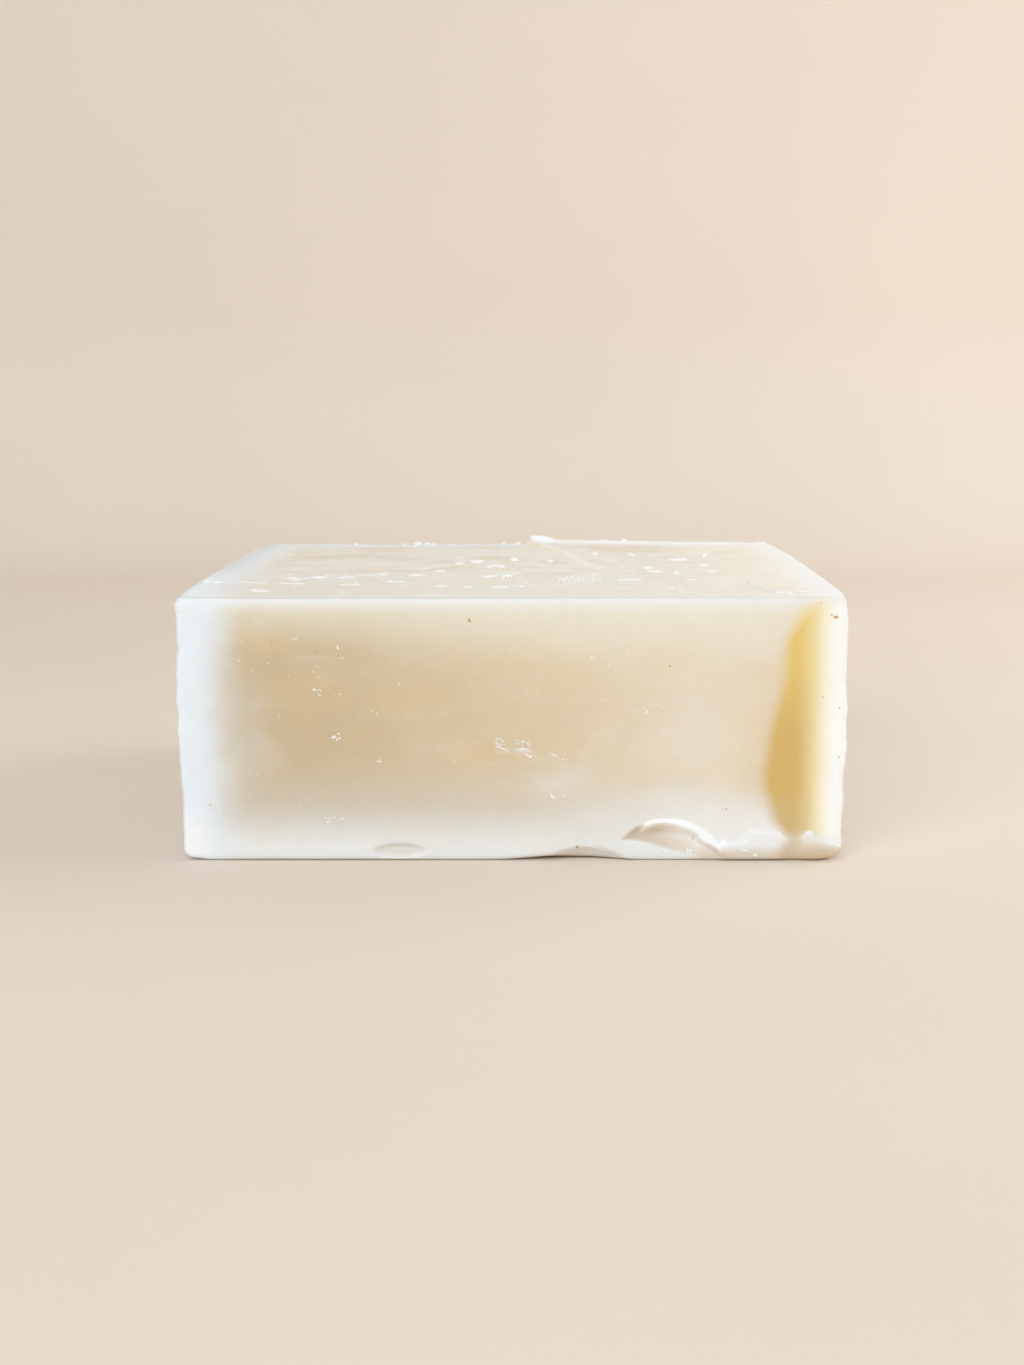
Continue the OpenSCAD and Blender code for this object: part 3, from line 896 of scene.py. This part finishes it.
def soap_material(block, colours):
    """Milky soap: cool dry rind, tan cloud, clear honey band, white torn and smeared places."""
    r = Recipe("soap")
    w, d, h = block.half_w, block.half_d, block.height
    mm = r.millimetres()
    waves = {"Vector": mm, "Scale": 1 / 11, "Detail": 3.0, "Roughness": 0.55}
    drift = r.node("ShaderNodeTexNoise", waves)
    warp = r.moved(drift.outputs["Color"], (DRIFT, DRIFT, DRIFT), (-DRIFT / 2, -DRIFT / 2, -DRIFT / 2))
    drifted = r.node("ShaderNodeVectorMath", {0: mm, 1: warp}, operation="ADD").outputs[0]
    x, y, z = r.split(mm)
    sx, sy, sz = r.split(r.node("ShaderNodeAttribute", attribute_name="side").outputs["Vector"])
    on_front = r.span(r.math("MULTIPLY", sy, -1.0), 0.35, 0.8)
    on_top = r.span(sz, 0.35, 0.85)
    off_x, off_y, off_z = (r.span(r.math("ABSOLUTE", part), 0.95, 0.5) for part in (sx, sy, sz))
    from_left = r.math("ADD", x, w)
    from_right = r.math("SUBTRACT", w, x)
    from_top = r.math("SUBTRACT", h, z)
    from_front = r.math("ADD", y, d)
    from_rear = r.math("SUBTRACT", d, y)

    def front_patch(place, middle_x, middle_z, wide, tall, low=1.0, high=0.2):
        """A soft patch on the front face."""
        return r.patch(place, (middle_x, -d, middle_z), (wide, PATCH_DEEP, tall), low, high)

    def front_patches(table):
        return r.largest(*(r.times(front_patch(drifted, *where), share) for *where, share in table))

    # Main body: tan at the left, paler to the right, with soft level wisps
    fine = r.cloud(mm, 2.6, 4.0, 0.6)
    wisps = r.cloud(r.moved(drifted, (0.55, 1.0, 1.3)), 11.0, 4.0, 0.55, 0.5)
    across = r.add(r.split(drifted)[0], r.math("MULTIPLY_ADD", wisps, 18.0, -9.0))
    body = r.mix(r.span(across, -34, 8), colours.tan, colours.cream)
    body = r.mix(r.span(across, -4, 34), body, colours.pale)
    body = r.mix(r.times(front_patches(AMBER_PATCHES), on_front), body, colours.amber)
    scuffed = r.times(front_patch(mm, 0.4, 16.5, 3.6, 0.7), r.span(fine, 0.35, 0.65), 0.65)
    haze = r.largest(front_patches(HAZE_PATCHES), scuffed)
    body = r.mix(r.times(haze, on_front), body, colours.foot)
    greyed = r.times(front_patch(mm, -38.5, 19.0, 4.5, 15), on_front, 0.4)
    body = r.mix(greyed, body, GREYED)
    veils = r.cloud(r.moved(drifted, (0.30, 1.0, 1.1)), 5.0, 5.0, 0.6, 0.4)
    body = r.mix(r.times(r.span(veils, 0.50, 0.75), on_front, 0.20), body, colours.foot)
    body = r.mix(r.times(r.span(veils, 0.48, 0.28), on_front, 0.16), body, colours.amber)

    # Top face: warm beige with tan pools, ochre stains and pale streaks, darker towards its left with
    # painted shade
    streaks = r.cloud(r.moved(drifted, (0.35, 1.0, 1.0)), 3.4, 5.0, 0.65, 0.8)
    pools = r.span(r.cloud(drifted, 12.0, 3.0, 0.5), 0.46, 0.66)
    stains = r.span(r.cloud(r.moved(drifted, (0.6, 1.0, 1.0)), 5.0, 4.0, 0.6), 0.60, 0.72)
    # Painted shade: the top darkens towards its left
    top = r.mix(r.span(x, -44.0, 6.0), TOP_LEFT_SHADE, colours.top)
    top = r.mix(r.times(pools, r.span(y, -34.0, 10.0, 0.04, 0.50)), top, colours.cream)
    top = r.mix(r.times(stains, r.span(x, 34.0, 0.0), 0.40), top, colours.amber)
    top = r.mix(r.times(r.span(streaks, 0.50, 0.72), 0.7), top, colours.torn)
    warm = r.times(r.span(x, 24.0, 46.0), r.span(y, -38.0, -24.0, 0.35, 0.8))
    top = r.mix(warm, top, TOP_RIGHT)
    body = r.mix(on_top, body, top)
    body = r.mix(r.times(r.span(sy, 0.5, 0.9), 0.85), body, REAR_FACE)

    # Lighter crown under the top edges, and the water-washed foot
    sway = r.math("MULTIPLY_ADD", wisps, 6.0, -3.0)
    reach = r.span(x, -40.0, 15.0, 8.5, 14.5)
    hanging = r.span(r.math("DIVIDE", r.add(from_top, r.times(sway, 0.3)), reach), 1.0, 0.0)
    crown = r.times(hanging, r.span(x, -36.0, 0.0, 0.68, 0.78))
    body = r.mix(r.times(crown, off_z), body, colours.crown)
    body = r.mix(r.times(r.span(from_top, 2.6, 0.2), off_z, 0.75), body, TOP_LAYER)
    wash = r.times(r.span(r.add(z, r.times(sway, 0.6)), 17.0, 0.0), off_z)
    damp = r.mix(r.span(x, -12.0, 30.0), DAMP_LEFT, DAMP_RIGHT)
    body = r.mix(wash, body, r.mix(r.span(z, 9.5, 2.0), damp, colours.foot))
    rinsed = r.times(r.span(x, 2.0, 18.0), r.span(z, 13.0, 5.0), on_front, 0.65)
    body = r.mix(rinsed, body, r.mix(r.span(x, 14.0, 27.0), RINSED_LEFT, RINSED_RIGHT))

    # Dried rind along the edges, its cool tint partly painted shade; painted highlight on the top's
    # right and rear rims; painted shade on the top's left rim and along the line where the top turns
    # over
    ragged = r.math("MULTIPLY_ADD", r.cloud(mm, 5.0, 4.0, 0.6), 3.0, -1.5)
    ragged_left, ragged_right = r.add(from_left, ragged), r.add(from_right, ragged)
    ragged_front, ragged_rear = r.add(from_front, ragged), r.add(from_rear, ragged)
    # Rind: dried white skin along the edges; its cool blue tint is partly painted shade
    rind_and_shade = r.largest(
        r.times(r.span(ragged_left, 10.8, 2.0), off_x),
        r.times(r.span(ragged_right, 3.6, 0.2), off_x, 0.6),
        r.times(r.span(ragged_front, 6.0, 0.6), off_y, 0.2),
        r.times(r.span(ragged_rear, 9.0, 3.0), off_y, 0.75))
    turn_low = r.span(y, 0.0, 30.0, 0.5, 0.1)
    turn_high = r.span(y, 0.0, 30.0, 0.95, 0.45)
    outer = r.times(r.span(r.math("ABSOLUTE", sx), turn_low, turn_high), 0.75)
    body = r.mix(r.largest(rind_and_shade, outer), body, colours.rind_and_shade)
    drained = r.times(r.patch(mm, (-w, -d, 0.0), (7, PATCH_DEEP, 11)), on_front, 0.6)
    body = r.mix(drained, body, DRAINED)
    # Painted highlight: the top's right and rear rims are whitened as if lit
    lit = r.largest(
        r.times(r.span(ragged_right, 8.0, 2.0), 0.9),
        r.times(r.span(ragged_rear, 8.0, 3.5), r.span(x, 1.0, 5.0), 0.8))
    body = r.mix(r.times(lit, on_top), body, colours.torn)
    # Painted shade where the top's left rim turns down
    turned_shade = r.times(on_top, r.span(from_left, 6.5, 0.8), r.span(y, -28.0, -8.0), 0.6)
    body = r.mix(turned_shade, body, TOP_LEFT_RIM_SHADE)
    # Painted shade along the line where the top turns over the front
    turns_over = r.times(r.span(sz, 0.6, 0.8), r.span(sz, 1.0, 0.92), r.span(sy, -0.05, -0.3))
    arris_shade = r.largest(
        r.times(turns_over, r.span(x, -10.0, 40.0, 0.85, 0.5)),
        r.times(r.span(sz, 0.1, 0.4), r.span(sy, -0.3, -0.6), 0.35))
    body = r.mix(arris_shade, body, TOP_ARRIS_SHADE)

    # Honey band beside the right edge of the front face: a painted shadow, lit only through the soap
    # from the right edge, deep honey in the shade and paler to white towards the edge; the yellow is
    # partly the soap's own colour. A faint painted penumbra lies before its left edge
    honey = r.mark("honey")
    # Painted penumbra: a faint shade before the band's left edge
    penumbra_share = r.times(r.span(z, 32.0, 14.0, 0.12, 0.34), r.span(z, 5.0, 11.0))
    penumbra = r.times(r.span(honey, -5.5, 0.0), penumbra_share, on_front)
    body = r.mix(penumbra, body, colours.amber)
    # Painted shadow lit through the soap: deep honey in the shade, paler and white towards the right
    # edge where light comes through
    deep = r.mix(r.span(z, 17.0, 33.0), colours.honey, colours.honey_top)
    deep = r.mix(r.span(z, 12.0, 4.0, 0.0, 0.5), deep, HONEY_FOOT)
    pale_lit = r.largest(r.span(from_right, 7.7, 2.6), r.span(z, 33.0, 39.5))
    band = r.mix(pale_lit, deep, colours.honey_pale)
    band = r.mix(r.span(from_right, 5.2, 1.0), band, colours.bright)
    edge_blur = r.add(r.span(z, 6.0, 12.0, 1.35, 1.15), r.span(z, 34.0, 38.5, 0.0, 0.9))
    inside = r.span(r.math("DIVIDE", honey, edge_blur), -1.2, 1.0)
    band_ends = r.times(on_front, r.span(z, 2.0, 4.8), r.span(z, 38.9, 37.0, 0.35, 1.0))
    body = r.mix(r.times(inside, band_ends), body, band)

    # Torn, smeared and sliced places. Partly painted light and shade: shade in the scoop, a highlight on
    # the smear's edge, warm light reflected from a wooden dish on the foot at the right, and soft shade
    # in the smear's thin place, the nick and the slice
    scoop, crease, smear = r.mark("scoop"), r.mark("crease"), r.mark("smear")
    rubbed = r.times(front_patch(mm, 20.0, 1.0, 13.0, 3.4, 1.0, 0.5), on_front, 0.85)
    body = r.mix(rubbed, body, colours.foot)
    # Painted shade in the scoop: darker to the left, lightened near the crease where the slope is shaded
    wall = r.times(r.span(scoop, -0.03, 0.12), r.span(crease, -0.04, 0.05))
    floor = r.times(r.span(crease, 0.04, -0.04), r.span(scoop, -0.1, 0.5), 0.95)
    hollow = r.mix(r.span(x, 17.0, 27.0), SCOOP_LEFT_SHADE, SCOOP_RIGHT)
    hollow = r.mix(r.span(crease, -1.1, -0.1), hollow, SCOOP_CREASE_LIT)
    near_band = r.times(r.span(crease, -2.6, -0.5), r.span(x, 21.0, 25.5))
    body = r.mix(floor, body, r.mix(near_band, hollow, BESIDE_BAND))
    # Smear: white soap, whiter along its outline as a painted highlight on its raised edge
    beside_gap = r.span(r.math("ABSOLUTE", r.math("SUBTRACT", x, 41.2)), 0.2, 2.4)
    smear_with_lit_edge = r.times(
        r.span(smear, -0.04, 0.10), r.span(smear, 2.0, 0.3, 0.55, 0.95),
        r.math("MULTIPLY_ADD", beside_gap, 0.85, 0.15))
    white = r.largest(wall, smear_with_lit_edge)
    body = r.mix(white, body, r.mix(r.span(x, 30.5, 33.0), TORN_BAND, SMEARED))
    # Foot at the right: partly the soap's own darker tint, partly painted warm light reflected from a
    # wooden dish
    bounce_top = r.add(r.span(x, 38.0, 40.4, 2.6, 4.2), r.span(x, 45.0, 47.0, 0.0, -0.8))
    tint_and_bounce = r.times(
        r.span(z, bounce_top, 0.9), r.span(x, 26.3, 28.0), on_front,
        r.largest(r.span(smear, 0.0, 0.4), r.span(x, 38.5, 37.0)))
    body = r.mix(tint_and_bounce, body, r.mix(r.span(x, 38.0, 40.4), TINT_AND_BOUNCE_LEFT, TINT_AND_BOUNCE_RIGHT))
    # Darker soap through the thin smear, with painted soft shadow
    gap = r.times(front_patch(mm, 41.5, 2.4, 1.6, 2.2, 1.0, 0.3), on_front, 0.85)
    body = r.mix(gap, body, GAP_TINT_AND_SHADOW)
    # Nick and slice: soap under the foot's skin, partly painted shade in these hollows
    nick_x, nick_z, nick_half, nick_tall, _ = NICK
    dent_tint_and_shade = r.times(front_patch(mm, nick_x, nick_z + 0.1, nick_half, nick_tall, 1.0, 0.8), on_front, 0.5)
    sliced = r.times(r.span(r.mark("slice"), 0.0, 0.25), 0.4)
    body = r.mix(r.largest(dent_tint_and_shade, sliced), body, DENT_TINT_AND_SHADE)

    # Step across the top: a yellowish line under its edge, lightened with painted light where the step's
    # face is in shade, white along its crest
    step = r.mark("step")
    near_step = r.times(on_top, r.span(y, -12.0, 10.0))
    # Painted light: the line under the step's edge is lightened where the step's face is in shade
    under_edge_lit = r.times(near_step, r.span(step, -1.8, -0.5), r.span(step, 0.7, 0.2), 0.9)
    body = r.mix(under_edge_lit, body, r.mix(r.span(y, 36.0, 20.0), STEP_LINE_LIT_REAR, STEP_LINE_LIT_FRONT))
    crest = r.times(near_step, r.span(step, 0.2, 0.7), r.span(step, 2.4, 0.9), 0.5)
    body = r.mix(crest, body, colours.torn)

    # Small variation in tone everywhere
    tone = r.math("MULTIPLY_ADD", fine, 0.07, 0.965)
    shade = r.node("ShaderNodeVectorMath", {0: body, "Scale": tone}, operation="SCALE").outputs[0]
    r.join(shade, r.shader.inputs["Base Color"])

    # Finish: satin, a little duller on the top and dull where it is torn
    wipes = r.cloud(r.moved(mm, (0.35, 1.0, 1.0)), 2.2, 4.0, 0.6)
    rough = r.add(
        r.math("MULTIPLY_ADD", wipes, ROUGH_WIPED, ROUGH_LEAST),
        r.times(on_top, ROUGH_TOP),
        r.times(white, ROUGH_TORN))
    r.join(rough, r.shader.inputs["Roughness"])

    # Fine relief: wipes, pits and torn grain, weaker on the top
    cells = r.node("ShaderNodeTexVoronoi", {"Vector": mm, "Scale": 0.55}, feature="F1")
    pits = r.span(cells.outputs["Distance"], 0.16, 0.05)
    relief = r.add(
        r.times(r.cloud(mm, 1.1, 3.0, 0.6), 0.05),
        r.times(wipes, 0.06),
        r.times(streaks, on_top, 0.05),
        r.times(pits, off_z, -0.05),
        r.times(white, r.cloud(mm, 0.5, 3.0, 0.6), 0.12))
    relief = r.times(relief, r.span(on_top, 0.0, 1.0, 1.0, 0.12))
    bump = r.node("ShaderNodeBump", {"Height": relief, "Strength": 0.6, "Distance": 0.001})
    r.join(bump.outputs["Normal"], r.shader.inputs["Normal"])
    r.shader.inputs["Subsurface Weight"].default_value = 0.25
    r.shader.inputs["Subsurface Radius"].default_value = (1.0, 0.8, 0.55)
    r.shader.inputs["Subsurface Scale"].default_value = 0.003
    r.shader.inputs["IOR"].default_value = 1.46
    return r.material


def scrap_material(name, base, darker):
    """Soap or grain that sticks to the block: a little uneven in tone."""
    r = Recipe(name)
    mm = r.millimetres()
    r.join(r.mix(r.cloud(mm, 0.6, 2.0), darker, base), r.shader.inputs["Base Color"])
    r.join(r.span(r.cloud(mm, 0.4), 0.3, 0.7, 0.3, 0.55), r.shader.inputs["Roughness"])
    r.shader.inputs["Subsurface Weight"].default_value = 0.1
    r.shader.inputs["Subsurface Scale"].default_value = 0.001
    return r.material


def save_marks(mesh, marks):
    """Keeps the marks of each point for the material."""
    for name in marks[0]:
        if name == "side":
            kept = mesh.attributes.new(name, "FLOAT_VECTOR", "POINT")
            kept.data.foreach_set("vector", [value for mark in marks for value in mark[name]])
        else:
            kept = mesh.attributes.new(name, "FLOAT", "POINT")
            kept.data.foreach_set("value", [mark[name] for mark in marks])


class SOAP_OT_block(bpy.types.Operator):
    """Make the block of soap, with its scoop, smears, slice, step and rounded edges"""
    bl_idname = "soap.block"
    bl_label = "Block of soap"

    def execute(self, context):
        scene = context.scene
        block = Block(scene.soap_sizes)
        skin = Skin(block)
        skin.build()
        material = soap_material(block, scene.soap_colours)
        piece = new_piece("soap_block", skin.places, skin.faces, material)
        save_marks(piece.data, skin.marks)
        chart = piece.data.uv_layers.new(name="OFBake")
        chart.data.foreach_set("uv", [value for corner in skin.corners for value in corner])
        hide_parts(NODE)
        return {"FINISHED"}


# Scattered bits: how many tiny dots on the front and flakes on the top, and the seeds of the draws
FRONT_DOTS = 70
TOP_DOTS = 90
FLAKE_PARTS = 4
CHIP_SEED = 11
SPECK_SEED = 5


def scatter_on_front(scraps, dice):
    """Lays the chips, the tiny dots and the scratches of the front face."""
    lay = scraps.on_front
    for x, z, reach, count, size in CHIPS:
        for _ in range(count):
            a, b = x + dice.uniform(-reach, reach), z + 0.6 * dice.uniform(-reach, reach)
            long = size * dice.uniform(0.7, 1.3)
            turn = dice.uniform(-60, 60)
            scraps.chip(lay, a, b, long, 0.6 * long, turn, 0.07, dice.random() * 90)
    for _ in range(FRONT_DOTS):
        a, b, size = dice.uniform(-44, 38), dice.uniform(4, 37), dice.uniform(0.10, 0.19)
        scraps.chip(lay, a, b, size, size, 0, 0.04, dice.random() * 90, sides=6)
    for wide, points in STROKES:
        scraps.stroke(lay, points, wide, 0.06)


def scatter_on_top(scraps, dice, front):
    """Lays the flakes, the bright streaks, the bristle marks and the scratch of the top."""
    lay = scraps.on_top
    for x, back, long, wide, turn in TOP_FLAKES:
        for _ in range(FLAKE_PARTS):
            a = x + 0.3 * long * dice.uniform(-1, 1)
            b = front + back + 0.4 * wide * dice.uniform(-1, 1)
            part_long, part_wide = dice.uniform(0.3, 0.85) * long, dice.uniform(0.25, 0.5) * wide
            high = dice.uniform(0.08, 0.14) + 0.06 * wide
            part_turn = turn + dice.uniform(-14, 14)
            scraps.chip(lay, a, b, part_long, part_wide, part_turn, high, dice.random() * 90)
    for wide, points in RIM_CREASES:
        scraps.stroke(lay, points, wide, 0.14)
    for x, back, count, gap in HATCH_ROWS:
        for i in range(count):
            a, b = x + gap * (i + 0.3 * dice.random()), front + back + 0.35 * i + dice.random()
            scraps.chip(lay, a, b, 0.26, 1.0, -8, 0.30, dice.random() * 90, sides=6)
    scraps.stroke(lay, SCRATCH, 0.4, 0.2)
    for _ in range(TOP_DOTS):
        a, b = dice.gauss(0, 22), front + dice.uniform(4, 74)
        if abs(a) < 45:
            long = dice.uniform(0.3, 1.1)
            wide = dice.uniform(0.5, 1.4) * long
            scraps.chip(lay, a, b, long, wide, 0, 0.10, dice.random() * 90, sides=7)


class SOAP_OT_chips(bpy.types.Operator):
    """Make the white chips, scratches and flakes that lie on the front and the top"""
    bl_idname = "soap.chips"
    bl_label = "Chips and scratches"

    def execute(self, context):
        block = Block(context.scene.soap_sizes)
        scraps = Scraps(block)
        dice = random.Random(CHIP_SEED)
        scatter_on_front(scraps, dice)
        scatter_on_top(scraps, dice, -block.half_d)
        material = scrap_material("soap chips", CHIP_LIGHT, CHIP_SHADE)
        new_piece("chips", scraps.places, scraps.faces, material)
        return {"FINISHED"}


class SOAP_OT_specks(bpy.types.Operator):
    """Make the brown grains set in the front face"""
    bl_idname = "soap.specks"
    bl_label = "Brown specks"

    def execute(self, context):
        scene = context.scene
        scraps = Scraps(Block(scene.soap_sizes))
        dice = random.Random(SPECK_SEED)
        for x, z, size in SPECKS:
            turn = dice.uniform(0, 180)
            scraps.chip(scraps.on_front, x, z, size, 0.7 * size, turn, 0.05, dice.random() * 90, 8)
        tint = scene.soap_colours.speck
        material = scrap_material("brown grain", tint, tuple(0.8 * value for value in tint))
        new_piece("specks", scraps.places, scraps.faces, material)
        return {"FINISHED"}


class SOAP_OT_crumbs(bpy.types.Operator):
    """Make the crumbs stuck along the rear edge of the top"""
    bl_idname = "soap.crumbs"
    bl_label = "Crumbs"

    def execute(self, context):
        scene = context.scene
        block = Block(scene.soap_sizes)
        scraps = Scraps(block)
        for x, back, size in REAR_CRUMBS:
            middle = scraps.on_top(x, block.half_d - back, 0.0)
            scraps.lump(middle, (0.6 * size, 0.5 * size, 0.38 * size), x)
        colours = scene.soap_colours
        material = scrap_material("crumbs", colours.torn, colours.foot)
        new_piece("crumbs", scraps.places, scraps.faces, material)
        return {"FINISHED"}


# The soft lamps: place in metres, side of the square in metres, tint
WINDOW_LAMP = ((0.46, 0.12, 0.26), 0.45, (1.0, 0.99, 0.97))
FRONT_LAMP = ((-0.30, -0.85, 0.60), 0.8, (0.93, 0.97, 1.0))
# What both lamps face, in metres
LAMP_AIM = Vector((0, 0, 0.02))
# Tint of the even light, and how bright the camera sees the backdrop's colour behind everything
SKY_TINT = (0.94, 0.97, 1.0)
SEEN_STRENGTH = 0.78


class SOAP_OT_stage(bpy.types.Operator):
    """Make the floor, the lights and the camera"""
    bl_idname = "soap.stage"
    bl_label = "Stage"

    def execute(self, context):
        scene = context.scene
        stage = scene.soap_stage
        self.make_floor(scene.soap_colours.floor)
        self.make_light("window", stage.key, *WINDOW_LAMP)
        self.make_light("front", stage.fill, *FRONT_LAMP)
        self.make_world(stage.sky, scene.soap_colours.floor)
        self.make_camera(stage)
        scene.view_settings.view_transform = "Standard"
        return {"FINISHED"}

    @staticmethod
    def make_floor(tint):
        """A floor that curves up into a backdrop. In metres."""
        half, behind, bend, tall, steps = 3.0, 0.36, 0.10, 1.6, 24
        profile = [(-half, 0.0), (behind, 0.0)]
        for i in range(1, steps + 1):
            turn = math.radians(90 * i / steps)
            profile.append((behind + bend * math.sin(turn), bend - bend * math.cos(turn)))
        profile.append((behind + bend, tall))
        places = [(x, y, z) for y, z in profile for x in (-half, half)]
        faces = [(2 * i, 2 * i + 1, 2 * i + 3, 2 * i + 2) for i in range(len(profile) - 1)]
        r = Recipe("floor")
        where = r.node("ShaderNodeTexCoord").outputs["Object"]
        mottle = r.node("ShaderNodeTexNoise", {"Vector": where, "Scale": 9.0, "Detail": 5.0})
        darker = tuple(value * 0.93 for value in tint)
        r.join(r.mix(mottle.outputs["Fac"], darker, tint), r.shader.inputs["Base Color"])
        r.shader.inputs["Roughness"].default_value = 0.8
        floor = smooth_object("floor", places, faces, r.material)

    @staticmethod
    def make_light(name, power, place, size, tint):
        """A soft square lamp that faces the block."""
        lamp = bpy.data.lights.new(name, "AREA")
        lamp.size = size
        lamp.energy = power
        lamp.color = tint
        light = show(name, lamp)
        light.location = place
        light.rotation_euler = (LAMP_AIM - Vector(place)).to_track_quat("-Z", "Y").to_euler()

    @staticmethod
    def make_world(strength, tint):
        """Even light from all sides; the camera and mirrored rays see the backdrop's colour instead."""
        world = bpy.data.worlds.new("studio")
        bpy.context.scene.world = world
        world.use_nodes = True
        tree = world.node_tree
        tree.nodes.clear()

        def background(shade, bright):
            made = tree.nodes.new("ShaderNodeBackground")
            made.inputs["Color"].default_value = (*shade, 1.0)
            made.inputs["Strength"].default_value = bright
            return made.outputs[0]

        seen, even = background(tint, SEEN_STRENGTH), background(SKY_TINT, strength)
        rays = tree.nodes.new("ShaderNodeLightPath")
        mix = tree.nodes.new("ShaderNodeMixShader")
        output = tree.nodes.new("ShaderNodeOutputWorld")
        seen_by = rays.outputs["Is Camera Ray"]
        for kind in ("Is Glossy Ray", "Is Transmission Ray"):
            either = tree.nodes.new("ShaderNodeMath")
            either.operation = "MAXIMUM"
            tree.links.new(seen_by, either.inputs[0])
            tree.links.new(rays.outputs[kind], either.inputs[1])
            seen_by = either.outputs[0]
        tree.links.new(seen_by, mix.inputs["Fac"])
        tree.links.new(even, mix.inputs[1])
        tree.links.new(seen, mix.inputs[2])
        tree.links.new(mix.outputs[0], output.inputs["Surface"])

    @staticmethod
    def make_camera(stage):
        """The photograph's viewpoint."""
        down, left, roll = stage.camera_down, -stage.camera_left, -stage.camera_roll
        flat = math.cos(down)
        ahead = Vector((math.sin(left) * flat, math.cos(left) * flat, -math.sin(down)))
        right = ahead.cross(Vector((0, 0, 1))).normalized()
        up = right.cross(ahead)
        level_right = math.cos(roll) * right + math.sin(roll) * up
        level_up = math.cos(roll) * up - math.sin(roll) * right
        data = bpy.data.cameras.new("camera")
        data.lens = stage.lens
        data.clip_start = 0.01
        data.clip_end = 20.0
        camera = show("camera", data)
        turn = Matrix((level_right, level_up, -ahead)).transposed().to_4x4()
        place = Vector((stage.camera_x, -stage.camera_back, stage.camera_z))
        camera.matrix_world = Matrix.Translation(place) @ turn
        bpy.context.scene.camera = camera


class SOAP_PT_panel(bpy.types.Panel):
    """Lists what the script makes"""
    bl_label = "Soap"
    bl_idname = "SOAP_PT_panel"
    bl_space_type = "VIEW_3D"
    bl_region_type = "UI"
    bl_category = "Soap"

    def draw(self, context):
        layout = self.layout
        for operator in OPERATORS:
            layout.operator(operator.bl_idname)
        for place in GROUPS:
            group = getattr(context.scene, place)
            box = layout.box()
            for name in group.__annotations__:
                box.prop(group, name)


GROUPS = {"soap_sizes": SoapSizes, "soap_colours": SoapColours, "soap_stage": StageSettings}
OPERATORS = (SOAP_OT_block, SOAP_OT_chips, SOAP_OT_specks, SOAP_OT_crumbs, SOAP_OT_stage)
CLASSES = (*GROUPS.values(), *OPERATORS, SOAP_PT_panel)


def register():
    for made in CLASSES:
        bpy.utils.register_class(made)
    for name, group in GROUPS.items():
        setattr(bpy.types.Scene, name, bpy.props.PointerProperty(type=group))


def unregister():
    for name in GROUPS:
        delattr(bpy.types.Scene, name)
    for made in reversed(CLASSES):
        bpy.utils.unregister_class(made)


def main():
    register()
    bpy.ops.soap.block()
    bpy.ops.soap.chips()
    bpy.ops.soap.specks()
    bpy.ops.soap.crumbs()
    bpy.ops.soap.stage()


if __name__ == "__main__":
    main()
